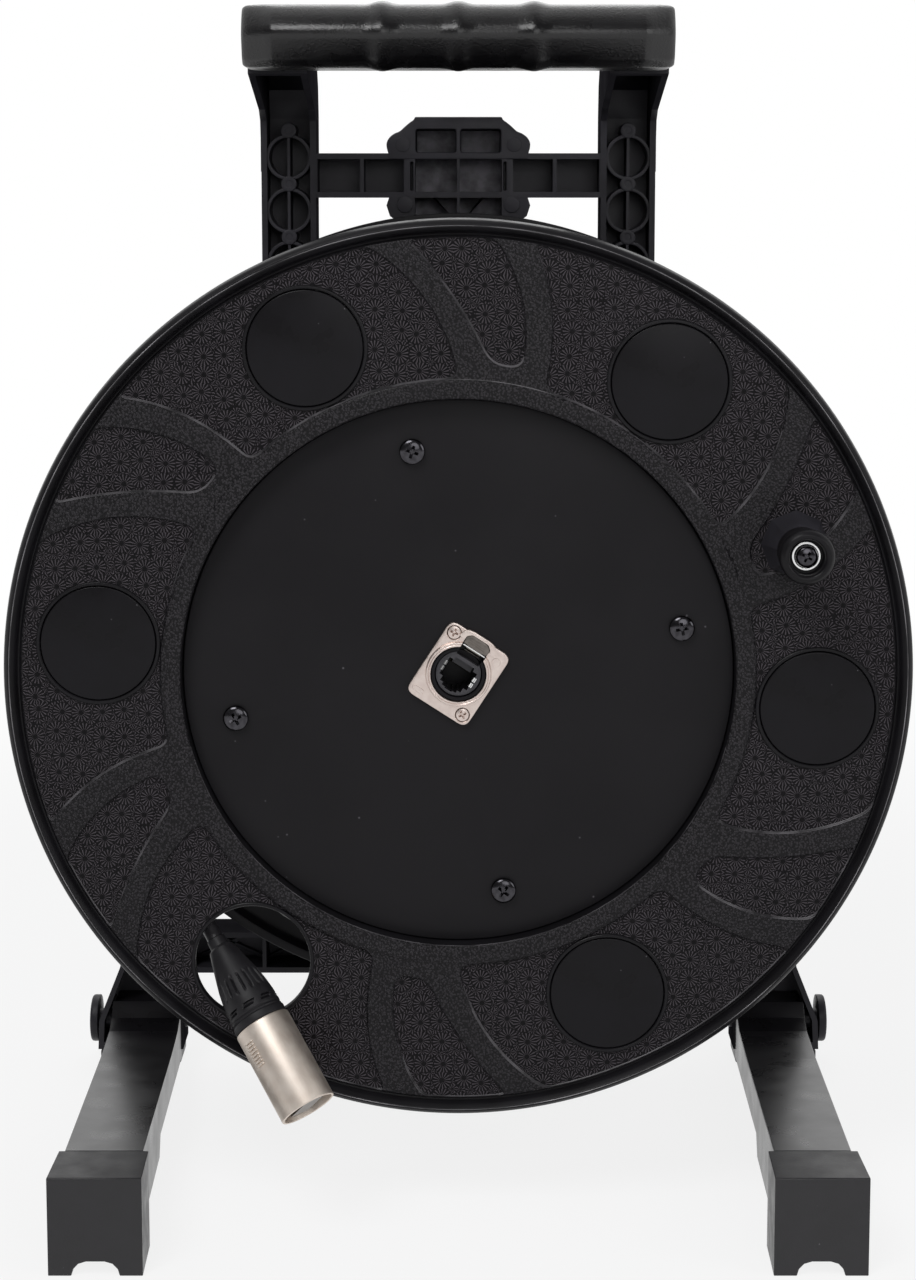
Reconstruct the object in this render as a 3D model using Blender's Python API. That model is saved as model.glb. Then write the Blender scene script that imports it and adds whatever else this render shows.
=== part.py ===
# Network cable reel, metres, +Z up, front of the drum faces -Y.
# Every piece is built in reel coordinates: origin on the axle, Y = 0 at the front rim. The empty reel_frame
# lifts them onto the ground.

import math

import bmesh
import bpy
from mathutils import Matrix, Vector

# Running gap between pieces that touch on the real reel.
CLEARANCE = 0.0003

# How far a cutter runs past the face that it cuts, and the step between the faces of joined shapes.
OVERSHOOT = 0.001
STEP = 0.0001

# Points nearer than this are one point.
MERGE = 0.000002

# Where the reel stands in the world.
DRUM_LIFT = 0.038
FRONT_RIM_Y = -0.072

# Flanges. Insets are measured inwards from the flange radius, Y from the front rim plane.
FLANGE_RADIUS = 0.165
RIM_SPACING = 0.140
RIM_WIDTH = 0.004
RIM_DEPTH = 0.0132
RIM_SHOULDER = 0.0045
CREST_INSET = 0.0022
CREST_DROP = 0.0012
CREST_ROUND = 0.0007
GROOVE_INSET = 0.0053
GROOVE_SLOPE = 0.0012
GROOVE_Y = 0.0032
FIELD_Y = 0.002
WEB_THICK = 0.0036
RING_WIDTH = 0.0062
RING_Y = 0.0014
RING_CHAMFER = 0.001
RING_SLOPE = 0.0007
ROUND_SEGMENTS = 36
HOLE_SEGMENTS = 20
SMALL_SEGMENTS = 16
BORE_SEGMENTS = 8
SCREW_SEGMENTS = 10

# Hand holes and their plugs.
HOLE_COUNT = 6
HOLE_INSET = 0.0342
HOLE_RADIUS = 0.0211
HOLE_MARGIN = 0.0029
FIRST_HOLE_DEG = 54.74
OPEN_HOLE = 3
PLUG_PROUD = 0.0001
PLUG_WALL = 0.0016
PLUG_BEAD = 0.0009
PLUG_BEAD_SLOPE = 0.0003
PLUG_TAPER = 0.0004
PLUG_SNAP = 0.0019

# Swept pockets: degrees from the hole that they surround, distances from the ring and the groove.
POCKET_DEPTH = 0.001
POCKET_MARGIN = 0.0019
POCKET_CORNER = 0.0045
WIDE_MARGIN = 0.0015
NARROW_MARGIN = 0.0034
WIDE_FROM = -24.2
WIDE_TO = 18.0
NARROW_FROM = 20.6
NARROW_TO = 31.0
SWEEP_INSET = 0.0015
SWEEP_DEG = 11.0
SWEEP_POWER = 1.25

# Centre panel and its seat.
PANEL_CLEAR = 0.0004
PANEL_Y = 0.008
PANEL_THICK = 0.0027
PANEL_SCREW_INSET = 0.0173
PANEL_SCREW_DEG = 101.57
PANEL_SCREW_COUNT = 4
SEAT_EDGE = 0.0089
SEAT_THICK = 0.003
SEAT_WALL = 0.003

# Barrel, hub and tie bolts.
BARREL_WALL = 0.0032
HUB_WALL = 0.0056
HUB_FRONT_Y = 0.086
AXLE_RADIUS = 0.009
BUSH_WALL = 0.0028
BUSH_LENGTH = 0.012
BUSH_FLANGE = 0.0045
BUSH_FLANGE_THICK = 0.002
SPIGOT_LENGTH = 0.006
TIE_INSET = 0.0124
TIE_DEG = 56.0
TIE_COUNT = 4
TIE_RADIUS = 0.0022
TIE_HEAD = 0.0024
TIE_HEAD_HIGH = 0.0018

# Pan-head screws. The crown and the side are shares of the head's radius and height.
SCREW_SHANK = 0.0019
SCREW_HEAD = 0.00465
SCREW_HEAD_HIGH = 0.0026
SCREW_LENGTH = 0.011
PAN_CROWN = 0.72
PAN_SIDE = 0.45
RECESS_REACH = 0.52
RECESS_WIDE = 0.0011
RECESS_DEEP = 0.0013

# Socket, turned clockwise seen from the front.
SOCKET_TURN_DEG = 32.9
PLATE_WIDE = 0.026
PLATE_HIGH = 0.031
PLATE_THICK = 0.0016
PLATE_CORNER = 0.003
PLATE_SCREW_INSET = 0.0035
PLATE_HEAD = 0.0029
PLATE_HEAD_DEEP = 0.0013
PLATE_HEAD_SUNK = 0.0001
PLATE_SHANK = 0.0014
PLATE_SCREW_LENGTH = 0.008
PLATE_RECESS = 0.0008
SOCKET_RING_WIDTH = 0.0013
SOCKET_RING_PROUD = 0.0012
SOCKET_RING_CHAMFER = 0.0004
HOUSING_SETBACK = 0.0004
HOUSING_LENGTH = 0.026
HOUSING_WALL = 0.0012
HOUSING_FLOOR = 0.003
INSERT_WALL = 0.0008
INSERT_SETBACK = 0.0012
INSERT_FLOOR = 0.003
JACK_WIDE = 0.0119
JACK_HIGH = 0.0082
JACK_DEEP = 0.014
JACK_STEP_WIDE = 0.0062
JACK_STEP_HIGH = 0.0028
LATCH_WIDE = 0.0086
LATCH_HIGH = 0.004
LATCH_THICK = 0.003
LATCH_PROUD = 0.0019
LATCH_CHAMFER = 0.001
LATCH_STEM_HIGH = 0.0009
LATCH_STEM_LONG = 0.003
LATCH_TRAVEL = 0.0012

# Crank knob.
KNOB_INSET = 0.0346
KNOB_DEG = 21.7
KNOB_SEAT_DEPTH = 0.0014
KNOB_SEAT_MARGIN = 0.0009
KNOB_SEAT_SHIFT = 0.0062
BASE_WIDE = 0.0094
BASE_TOP = 0.0076
BASE_HIGH = 0.0146
KNOB_RADIUS = 0.0097
KNOB_WAIST = 0.0088
KNOB_LENGTH = 0.0185
KNOB_FOOT = 0.0017
KNOB_NECK = 0.008
KNOB_LIP = 0.0055
KNOB_CROWN = 0.0025
KNOB_ROUND = 0.0019
KNOB_EDGE = 0.0006
KNOB_WELL = 0.0062
KNOB_WELL_EDGE = 0.0004
KNOB_WELL_DEEP = 0.006
SLEEVE_WALL = 0.0009
KNOB_WASHER_GAP = 0.0011
KNOB_WASHER_THICK = 0.0008
KNOB_SCREW_RADIUS = 0.0024
KNOB_HEAD = 0.0014
KNOB_HEAD_HIGH = 0.0022
KNOB_NUT = 0.0022
KNOB_NUT_THICK = 0.004
KNOB_SCREW_TIP = 0.0015

# Cable on the drum.
CABLE_RADIUS = 0.0031
CABLE_GAP = 0.0008
CORE_THICK = 0.0032
POINTS_PER_LOOP = 20
WINDING_FIRST_GAP = 0.0038
WINDING_LAST_GAP = 0.005
WINDING_END_DEG = 190.0
WINDING_END_RUN = 0.004
TAIL_POINTS = 12
TAIL_START_PULL = 0.036
TAIL_END_PULL = 0.026
SQUARE_END = 0.004

# Plug on the tail: where its neck and its open end are in reel coordinates.
PLUG_NECK = Vector((-0.0895, 0.0080, -0.1001))
PLUG_TIP = Vector((-0.0537, -0.0250, -0.1521))
BOOT_NECK_WALL = 0.0012
BOOT_LENGTH = 0.033
BOOT_STEP = 0.0006
COLLAR_LENGTH = 0.0026
COLLAR_STEP = 0.0003
SHELL_ROOM = 0.0023
SHELL_WALL = 0.0009
SHELL_FLOOR = 0.002
SHELL_ROUND = 0.0006
SHELL_LIP = 0.0004
PLUG_INSERT_SETBACK = 0.010
PLUG_TONGUE_SETBACK = 0.001
PLUG_TONGUE_ROOT = 0.002

# The boot's shape: share of its length, share of its swell.
BOOT_SHAPE = ((0.0, 0.0), (0.2, 0.18), (0.5, 0.75), (0.92, 1.0), (1.0, 1.0))

# Back frame. Names that end in UP are heights above the ground.
FRAME_GAP = 0.0018
FRAME_DEPTH = 0.020
FRAME_WALL = 0.0024
FRAME_WEB = 0.003
FRAME_BOTTOM_UP = 0.0063
RIB_THICK = 0.0011
RIB_SETBACK = 0.0008
UPRIGHT_OUTER = 0.082
UPRIGHT_WIDTH = 0.0227
UPRIGHT_RISE = 0.035
UPRIGHT_LENGTH = 0.065
SHIN_OUTER = 0.1565
SHIN_WIDTH = 0.0369
SHIN_LEAN = 0.0005
SHIN_UP = 0.019
SHIN_BEND = 0.0047
SPLAY_UP = 0.043
SPLAY_OUTER_STEP = 0.010
SPLAY_INNER_STEP = 0.0011
CROSSBAR_DROP = 0.0104
CROSSBAR_HIGH = 0.0184
LOWER_BAR_UP = 0.0405
LOWER_BAR_HIGH = 0.018
LOWER_BAR_CELLS = 3
SPINE_HALF = 0.0205
SPINE_RISE = 0.0042
BOX_RIB_DROP = 0.0019
EAR_RADIUS = 0.0075
EAR_OUT = 0.002
EAR_RISE = 0.003
EAR_DROP = 0.0032
HUB_PLATE_RADIUS = 0.046
HUB_PLATE_PROUD = 0.0015
HUB_PLATE_EDGE = 0.002
BOSS_RADIUS = 0.0031
BOSS_DROP = 0.001
RING_PITCH = 0.0221
RING_COUNT = 3
RING_SEGMENTS = 12
CROSS_RIBS = 3
CROSS_RIB_SPREAD = 0.0026
LEG_CELL_UP = 0.045

# Arms that carry the handle. A back bend is how far its point lies before the frame's back and below the
# arm's top, a front bend how far before the frame's front and above the upright's top.
ARM_REACH = 0.0587
ARM_RISE = 0.0197
ARM_HIGH = 0.0218
ARM_OVERLAP = 0.018
ARM_ROOT = 0.004
ARM_MOUTH = 0.015
ARM_MOUTH_DROP = 0.012
ARM_BACK_BENDS = ((0.025, 0.008), (0.012, 0.0135), (0.003, 0.024), (0.0, 0.0365))
ARM_FRONT_BENDS = ((0.0015, 0.003), (0.008, 0.0073))

# Handle grip. Corners are measured from the nearest faces of the grip's section. Ends are measured from the
# grip's end face, each with the section's share there.
GRIP_DEPTH = 0.040
GRIP_LOW_STEP = 0.0008
GRIP_TOP_STEP = 0.003
GRIP_FRONT_CORNERS = ((0.0, 0.010), (0.0035, 0.0045), (0.0105, 0.0))
GRIP_BACK_CORNERS = ((0.0085, 0.0), (0.0015, 0.0055), (0.0, 0.010))
GRIP_UNDER_BACK = ((0.0, 0.003), (0.004, 0.0))
GRIP_UNDER_FRONT = ((0.012, 0.0), (0.0065, 0.0032))
GRIP_ENDS = ((0.0, 0.80), (0.0012, 0.90), (0.0045, 0.975), (0.012, 1.0))
GRIP_RIDGES = 3
GRIP_RIDGE_PITCH = 0.0287
GRIP_RIDGE_HALF = 0.0045
GRIP_RIDGE_HIGH = 0.0012
HANDLE_SCREW_LENGTH = 0.018
HANDLE_SCREW_TIP = 0.002

# Legs and feet.
FOOT_FRONT_Y = -0.050
FOOT_LENGTH = 0.024
FOOT_OUTER = 0.1438
FOOT_WIDTH = 0.0333
FOOT_UP = 0.0357
FOOT_CHAMFER = 0.0004
FOOT_TAPER = 0.0006
FOOT_ARCH_HALF = 0.0085
FOOT_ARCH_HIGH = 0.0052
FOOT_ARCH_SQUARE = 1.18
FOOT_ARCH_STEPS = 8
LEG_OUTER_STEP = 0.0028
LEG_INNER_STEP = 0.0025
LEG_OUTER_TUCK = 0.0068
LEG_INNER_TUCK = 0.0008
LEG_LOW_FRONT_UP = 0.010
LEG_LOW_BACK_UP = 0.0025
LEG_TOP_BACK_UP = 0.021
LEG_MID_UP = 0.023
LEG_MID_RUN = 0.052
LEG_STEP_RUN = 0.066
LEG_STEP_SLOPE = 0.006
LEG_STEP_LOW_UP = 0.0055
LEG_STEP_TOP_UP = 0.0125
LEG_HEEL = ((0.018, 0.0), (0.007, 0.002), (0.0, 0.007))
LEG_WALL = 0.0025
LEG_TOP_WALL = 0.003
TENON_LENGTH = 0.014
TENON_INSET = 0.004
LEG_BOLT_UP = 0.017
LEG_BOLT_RADIUS = 0.004
LEG_BOLT_CAP = 0.010
LEG_BOLT_CAP_THICK = 0.0034
LEG_BOLT_CAP_ROUND = 0.0012
LEG_BOLT_TIP = 0.001
PAD_LENGTH = 0.020
PAD_INSET = 0.001

# Axle bolt and brake. Heads and washer are measured outwards from the axle.
AXLE_HEAD = 0.0055
AXLE_HEAD_THICK = 0.008
AXLE_NUT_THICK = 0.009
AXLE_TIP = 0.003
AXLE_WASHER = 0.008
AXLE_WASHER_THICK = 0.002
BRAKE_DROP = 0.066
BRAKE_TRAVEL = 0.0012
BRAKE_SHOE_RADIUS = 0.0075
BRAKE_PLATE_MARGIN = 0.0075
BRAKE_PLATE_PROUD = 0.001
BRAKE_ROD_RADIUS = 0.004
BRAKE_ROD_GRIP = 0.010
BRAKE_KNOB_GAP = 0.002
BRAKE_KNOB_RADIUS = 0.019
BRAKE_KNOB_THICK = 0.016
BRAKE_KNOB_LOBES = 8
BRAKE_KNOB_WAVE = 0.0011

# Lead from the winding to the socket, inside the barrel.
LEAD_HOLE_DEG = 205.0
LEAD_HOLE_Y = 0.030
LEAD_HOLE_ROOM = 0.0014
LEAD_POINTS = 10
LEAD_BEND = 0.018
INNER_PLUG_LENGTH = 0.014
INNER_PLUG_WIDE = 0.0112
INNER_PLUG_HIGH = 0.0078

# Worked out from the values above: radii of the drum.
CREST_RADIUS = FLANGE_RADIUS - CREST_INSET
GROOVE_RADIUS = FLANGE_RADIUS - GROOVE_INSET
FIELD_RADIUS = GROOVE_RADIUS - GROOVE_SLOPE
HOLE_CIRCLE = FLANGE_RADIUS - HOLE_INSET
RING_OUTER = HOLE_CIRCLE - HOLE_RADIUS - HOLE_MARGIN
RING_INNER = RING_OUTER - RING_WIDTH
POCKET_OUTER = FIELD_RADIUS - POCKET_MARGIN
POCKET_INNER = RING_OUTER - SWEEP_INSET
WIDE_INNER = RING_OUTER + WIDE_MARGIN
NARROW_INNER = RING_OUTER + NARROW_MARGIN
PANEL_RADIUS = RING_INNER - PANEL_CLEAR
PANEL_SCREW_CIRCLE = PANEL_RADIUS - PANEL_SCREW_INSET
SEAT_INNER = PANEL_SCREW_CIRCLE - SEAT_EDGE
SPIGOT_OUTER = RING_INNER + SEAT_WALL
BARREL_OUTER = SPIGOT_OUTER
BARREL_INNER = BARREL_OUTER - BARREL_WALL
TIE_CIRCLE = BARREL_INNER - TIE_INSET
BUSH_OUTER = AXLE_RADIUS + CLEARANCE + BUSH_WALL
HUB_BORE = BUSH_OUTER + CLEARANCE
HUB_OUTER = HUB_BORE + HUB_WALL
HUB_FACE_OUTER = BUSH_OUTER + BUSH_FLANGE
KNOB_CIRCLE = FLANGE_RADIUS - KNOB_INSET
KNOB_X = KNOB_CIRCLE * math.cos(math.radians(KNOB_DEG))
KNOB_Z = KNOB_CIRCLE * math.sin(math.radians(KNOB_DEG))

# Worked out: depths of the drum, from front to back.
WEB_BACK_Y = FIELD_Y + WEB_THICK
SEAT_Y = PANEL_Y + PANEL_THICK + CLEARANCE
SEAT_BACK_Y = SEAT_Y + SEAT_THICK
PLATE_Y = PANEL_Y - CLEARANCE
PLATE_FRONT_Y = PLATE_Y - PLATE_THICK
RIM_BACK_Y = RIM_SPACING + RIM_DEPTH
REAR_WEB_FRONT_Y = RIM_BACK_Y - WEB_BACK_Y
REAR_WEB_BACK_Y = RIM_BACK_Y - FIELD_Y

# Worked out: socket and plug.
JACK_REACH = max(
    math.hypot(JACK_WIDE / 2, JACK_HIGH / 2),
    math.hypot(JACK_STEP_WIDE / 2, JACK_HIGH / 2 + JACK_STEP_HIGH),
)
INSERT_RADIUS = JACK_REACH + INSERT_WALL
HOUSING_RADIUS = INSERT_RADIUS + CLEARANCE + HOUSING_WALL
SOCKET_BORE = HOUSING_RADIUS + CLEARANCE
SOCKET_RING = SOCKET_BORE + SOCKET_RING_WIDTH
LATCH_LOW_Z = INSERT_RADIUS + 2 * CLEARANCE
LATCH_STEM_Z = LATCH_LOW_Z + LATCH_STEM_HIGH
LATCH_TOP_Z = LATCH_LOW_Z + LATCH_HIGH
LATCH_SLOT_HALF = LATCH_WIDE / 2 + CLEARANCE
PLATE_SCREW_X = PLATE_WIDE / 2 - PLATE_SCREW_INSET
PLATE_SCREW_Z = PLATE_HIGH / 2 - PLATE_SCREW_INSET
SHELL_RADIUS = math.hypot(JACK_WIDE / 2, JACK_HIGH / 2) + SHELL_ROOM + SHELL_WALL
COLLAR_RADIUS = SHELL_RADIUS - COLLAR_STEP
BOOT_RADIUS = SHELL_RADIUS - BOOT_STEP
COLLAR_FROM = BOOT_LENGTH + CLEARANCE
SHELL_FROM = COLLAR_FROM + COLLAR_LENGTH + CLEARANCE
PLUG_AXIS = (PLUG_TIP - PLUG_NECK).normalized()
PLUG_LENGTH = (PLUG_TIP - PLUG_NECK).length

# Worked out: winding.
CABLE_PITCH = 2 * CABLE_RADIUS + CABLE_GAP
CORE_INNER = BARREL_OUTER + CLEARANCE
CORE_OUTER = CORE_INNER + CORE_THICK
WINDING_RADIUS = (CORE_OUTER + CLEARANCE + CABLE_RADIUS) / math.cos(math.pi / POINTS_PER_LOOP)
WINDING_FIRST_Y = WEB_BACK_Y + WINDING_FIRST_GAP + CABLE_RADIUS
WINDING_LAST_Y = REAR_WEB_FRONT_Y - WINDING_LAST_GAP - CABLE_RADIUS
CABLE_LOOPS = int((WINDING_LAST_Y - WINDING_FIRST_Y) / CABLE_PITCH)

# Worked out: stand.
AXLE_HEIGHT = FLANGE_RADIUS + DRUM_LIFT
GROUND_Z = -AXLE_HEIGHT
FRAME_FRONT_Y = RIM_BACK_Y + FRAME_GAP
FRAME_BACK_Y = FRAME_FRONT_Y + FRAME_DEPTH
FRAME_BOTTOM_Z = GROUND_Z + FRAME_BOTTOM_UP
UPRIGHT_TOP_Z = FLANGE_RADIUS + UPRIGHT_RISE
UPRIGHT_LOW_Z = UPRIGHT_TOP_Z - UPRIGHT_LENGTH
UPRIGHT_INNER = UPRIGHT_OUTER - UPRIGHT_WIDTH
UPRIGHT_MIDDLE = UPRIGHT_OUTER - UPRIGHT_WIDTH / 2
SHIN_INNER = SHIN_OUTER - SHIN_WIDTH
SHIN_TOP_Z = GROUND_Z + SHIN_UP
SPLAY_OUTER = SHIN_OUTER - SPLAY_OUTER_STEP
SPLAY_INNER = SHIN_INNER - SPLAY_INNER_STEP
SPLAY_Z = GROUND_Z + SPLAY_UP
CROSSBAR_TOP_Z = UPRIGHT_TOP_Z - CROSSBAR_DROP
CROSSBAR_LOW_Z = CROSSBAR_TOP_Z - CROSSBAR_HIGH
LOWER_BAR_LOW_Z = GROUND_Z + LOWER_BAR_UP
LOWER_BAR_TOP_Z = LOWER_BAR_LOW_Z + LOWER_BAR_HIGH
SPINE_TOP_Z = UPRIGHT_TOP_Z + SPINE_RISE
BOX_RIB_Z = CROSSBAR_TOP_Z - BOX_RIB_DROP
FIRST_BOSS_Z = UPRIGHT_TOP_Z - BOSS_DROP
LEG_CELL_Z = GROUND_Z + LEG_CELL_UP
ARM_END_Y = FRAME_FRONT_Y - ARM_REACH
ARM_LOW_Z = UPRIGHT_TOP_Z + ARM_RISE
ARM_TOP_Z = ARM_LOW_Z + ARM_HIGH
ARM_OVERLAP_Z = UPRIGHT_TOP_Z - ARM_OVERLAP
GRIP_BACK_Y = ARM_END_Y - CLEARANCE
GRIP_FRONT_Y = GRIP_BACK_Y - GRIP_DEPTH
GRIP_LOW_Z = ARM_LOW_Z + GRIP_LOW_STEP
GRIP_TOP_Z = ARM_TOP_Z + GRIP_TOP_STEP
HANDLE_SCREW_Z = (ARM_LOW_Z + ARM_TOP_Z) / 2
FOOT_BACK_Y = FOOT_FRONT_Y + FOOT_LENGTH
FOOT_TOP_Z = GROUND_Z + FOOT_UP
FOOT_INNER = FOOT_OUTER - FOOT_WIDTH
LEG_OUTER_FRONT = FOOT_OUTER - LEG_OUTER_STEP
LEG_INNER_FRONT = FOOT_INNER + LEG_INNER_STEP
LEG_OUTER_BACK = SHIN_OUTER - LEG_OUTER_TUCK
LEG_INNER_BACK = SHIN_INNER + LEG_INNER_TUCK
LEG_LOW_FRONT_Z = GROUND_Z + LEG_LOW_FRONT_UP
LEG_LOW_BACK_Z = GROUND_Z + LEG_LOW_BACK_UP
LEG_TOP_BACK_Z = GROUND_Z + LEG_TOP_BACK_UP
LEG_STEP_Y = FOOT_BACK_Y + LEG_STEP_RUN
LEG_BOLT_Y = FRAME_FRONT_Y + FRAME_DEPTH / 2
LEG_BOLT_Z = GROUND_Z + LEG_BOLT_UP
BRAKE_Z = -BRAKE_DROP


def clear_scene():
    for obj in list(bpy.data.objects):
        bpy.data.objects.remove(obj, do_unlink=True)


def material(name, colour, roughness, metallic=0.0):
    made = bpy.data.materials.new(name)
    made.use_nodes = True
    shader = made.node_tree.nodes["Principled BSDF"]
    shader.inputs["Base Color"].default_value = (*colour, 1.0)
    shader.inputs["Roughness"].default_value = roughness
    shader.inputs["Metallic"].default_value = metallic
    made.diffuse_color = (*colour, 1.0)
    return made


def empty(name, parent, location=(0, 0, 0), rotation=(0, 0, 0)):
    made = bpy.data.objects.new(name, None)
    bpy.context.scene.collection.objects.link(made)
    made.parent = parent
    made.location = location
    made.rotation_euler = rotation
    return made


def mesh_from(name, points, faces):
    mesh = bpy.data.meshes.new(name)
    mesh.from_pydata([tuple(point) for point in points], [], faces)
    work = bmesh.new()
    work.from_mesh(mesh)
    bmesh.ops.recalc_face_normals(work, faces=work.faces)
    work.to_mesh(mesh)
    work.free()
    return mesh


def turned_mesh(name, profile, segments=ROUND_SEGMENTS):
    """Turns a closed profile of (radius, y) points about the Y axis."""
    points, rings = [], []
    for radius, y in profile:
        if radius <= 0:
            rings.append([len(points)])
            points.append((0, y, 0))
            continue
        rings.append(list(range(len(points), len(points) + segments)))
        for step in range(segments):
            angle = math.tau * step / segments
            points.append((radius * math.cos(angle), y, radius * math.sin(angle)))
    faces = []
    pairs = list(zip(rings, rings[1:] + rings[:1]))
    for here, there in pairs:
        if len(here) == 1 and len(there) == 1:
            continue
        for step in range(segments):
            after = (step + 1) % segments
            if len(here) == 1:
                faces.append((here[0], there[step], there[after]))
            elif len(there) == 1:
                faces.append((here[step], there[0], here[after]))
            else:
                faces.append((here[step], there[step], there[after], here[after]))
    return mesh_from(name, points, faces)


def plate_mesh(name, outline, front, back):
    """Extrudes an (x, z) outline along Y."""
    count = len(outline)
    points = [(x, front, z) for x, z in outline] + [(x, back, z) for x, z in outline]
    faces = [tuple(range(count)), tuple(range(2 * count - 1, count - 1, -1))]
    for step in range(count):
        after = (step + 1) % count
        faces.append((step, after, count + after, count + step))
    return mesh_from(name, points, faces)


def side_mesh(name, outline, near, far):
    """Extrudes a (y, z) outline along X. near and far give X, as numbers or as functions of (y, z)."""
    count = len(outline)

    def place(side, y, z):
        return side(y, z) if callable(side) else side

    points = [(place(near, y, z), y, z) for y, z in outline]
    points += [(place(far, y, z), y, z) for y, z in outline]
    faces = [tuple(range(count)), tuple(range(2 * count - 1, count - 1, -1))]
    for step in range(count):
        after = (step + 1) % count
        faces.append((step, after, count + after, count + step))
    return mesh_from(name, points, faces)


def box_mesh(name, low, high):
    outline = [(low[0], low[2]), (high[0], low[2]), (high[0], high[2]), (low[0], high[2])]
    return plate_mesh(name, outline, low[1], high[1])


def circle(x, z, radius, segments, start=0.0):
    steps = [start + math.tau * step / segments for step in range(segments)]
    return [(x + radius * math.cos(angle), z + radius * math.sin(angle)) for angle in steps]


def rounded_box(wide, high, corner, steps=4):
    outline = []
    for quarter, (side, up) in enumerate(((1, 1), (-1, 1), (-1, -1), (1, -1))):
        x = side * (wide / 2 - corner)
        z = up * (high / 2 - corner)
        for step in range(steps + 1):
            angle = math.pi / 2 * (quarter + step / steps)
            outline.append((x + corner * math.cos(angle), z + corner * math.sin(angle)))
    return outline


def bore_radius(fit, segments=BORE_SEGMENTS):
    """Radius to a bore's corners whose flats clear a round piece of radius fit."""
    return (fit + CLEARANCE) / math.cos(math.pi / segments)


def bore_mesh(fit, front, back, x=0.0, z=0.0, segments=BORE_SEGMENTS):
    return plate_mesh("bore", circle(x, z, bore_radius(fit, segments), segments), front, back)


def polar(radius, degrees):
    angle = math.radians(degrees)
    return radius * math.cos(angle), radius * math.sin(angle)


def between(low, high, share):
    return low + (high - low) * share


def joined_mesh(name, meshes):
    """Puts shapes that stay clear of each other into one mesh, to serve as one cutter."""
    work = bmesh.new()
    for mesh in meshes:
        work.from_mesh(mesh)
    made = bpy.data.meshes.new(name)
    work.to_mesh(made)
    work.free()
    return made


def node(name, mesh, look, parent, location=(0, 0, 0), rotation=(0, 0, 0)):
    made = bpy.data.objects.new(name, mesh)
    bpy.context.scene.collection.objects.link(made)
    made.parent = parent
    made.location = location
    made.rotation_euler = rotation
    if look is not None:
        mesh.materials.clear()
        mesh.materials.append(look)
    return made


def combine(mesh, other, operation):
    """Runs one exact Boolean on two meshes and gives back a clean mesh."""
    target = node("boolean_target", mesh, None, None)
    tool = node("boolean_tool", other, None, None)
    modifier = target.modifiers.new("combine", "BOOLEAN")
    modifier.operation = operation
    modifier.solver = "EXACT"
    modifier.object = tool
    graph = bpy.context.evaluated_depsgraph_get()
    made = bpy.data.meshes.new_from_object(target.evaluated_get(graph))
    made.name = mesh.name
    bpy.data.objects.remove(target, do_unlink=True)
    bpy.data.objects.remove(tool, do_unlink=True)
    work = bmesh.new()
    work.from_mesh(made)
    bmesh.ops.remove_doubles(work, verts=work.verts, dist=MERGE)
    bmesh.ops.dissolve_degenerate(work, edges=work.edges, dist=MERGE)
    work.to_mesh(made)
    work.free()
    return made


def cut(mesh, *others):
    for other in others:
        mesh = combine(mesh, other, "DIFFERENCE")
    return mesh


def join(mesh, *others):
    for other in others:
        mesh = combine(mesh, other, "UNION")
    return mesh


def smooth(obj, degrees=35):
    obj.data.shade_smooth()
    obj.data.set_sharp_from_angle(angle=math.radians(degrees))
    return obj


def rod_mesh(name, radius, front, back, segments=20, x=0.0, z=0.0):
    return plate_mesh(name, circle(x, z, radius, segments), front, back)


def offset_path(path, distance):
    """Moves a (y, z) path sideways, to the left of its way for a positive distance."""
    moved = []
    for index, (y, z) in enumerate(path):
        before = path[max(index - 1, 0)]
        after = path[min(index + 1, len(path) - 1)]
        way = Vector((after[0] - before[0], after[1] - before[1])).normalized()
        moved.append((y - way.y * distance, z + way.x * distance))
    return moved


# Materials, with colours read from the photo.
def make_materials():
    return {
        "flange": material("black_grained_plastic", (0.020, 0.020, 0.022), 0.55),
        "panel": material("satin_black_panel", (0.014, 0.014, 0.016), 0.38),
        "frame": material("black_moulded_plastic", (0.022, 0.021, 0.025), 0.45),
        "grip": material("black_grip_plastic", (0.016, 0.016, 0.018), 0.32),
        "rubber": material("black_rubber", (0.024, 0.023, 0.025), 0.75),
        "cable": material("black_cable_jacket", (0.018, 0.018, 0.020), 0.5),
        "nickel": material("nickel_plate", (0.62, 0.55, 0.48), 0.32, 1.0),
        "steel": material("zinc_steel", (0.55, 0.55, 0.56), 0.35, 1.0),
        "black_screw": material("blackened_steel", (0.06, 0.06, 0.065), 0.3, 1.0),
        "insert": material("dark_grey_plastic", (0.035, 0.035, 0.038), 0.5),
        "bush": material("white_nylon", (0.60, 0.60, 0.58), 0.5),
        "clear": material("clear_plug_plastic", (0.55, 0.58, 0.60), 0.3),
    }


# Drum.
def front_flange_profile():
    rim_inner = FLANGE_RADIUS - RIM_WIDTH
    return [
        (SEAT_INNER, SEAT_Y),
        (RING_INNER, SEAT_Y),
        (RING_INNER, RING_Y + RING_CHAMFER),
        (RING_INNER + RING_CHAMFER, RING_Y),
        (RING_OUTER, RING_Y),
        (RING_OUTER + RING_SLOPE, FIELD_Y),
        (FIELD_RADIUS, FIELD_Y),
        (GROOVE_RADIUS, GROOVE_Y),
        (CREST_RADIUS, 0.0),
        (FLANGE_RADIUS - CREST_ROUND, CREST_DROP),
        (FLANGE_RADIUS, RIM_SHOULDER),
        (FLANGE_RADIUS, RIM_DEPTH),
        (rim_inner, RIM_DEPTH),
        (rim_inner, WEB_BACK_Y),
        (SPIGOT_OUTER, WEB_BACK_Y),
        (SPIGOT_OUTER, SEAT_BACK_Y),
        (SEAT_INNER, SEAT_BACK_Y),
    ]


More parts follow.
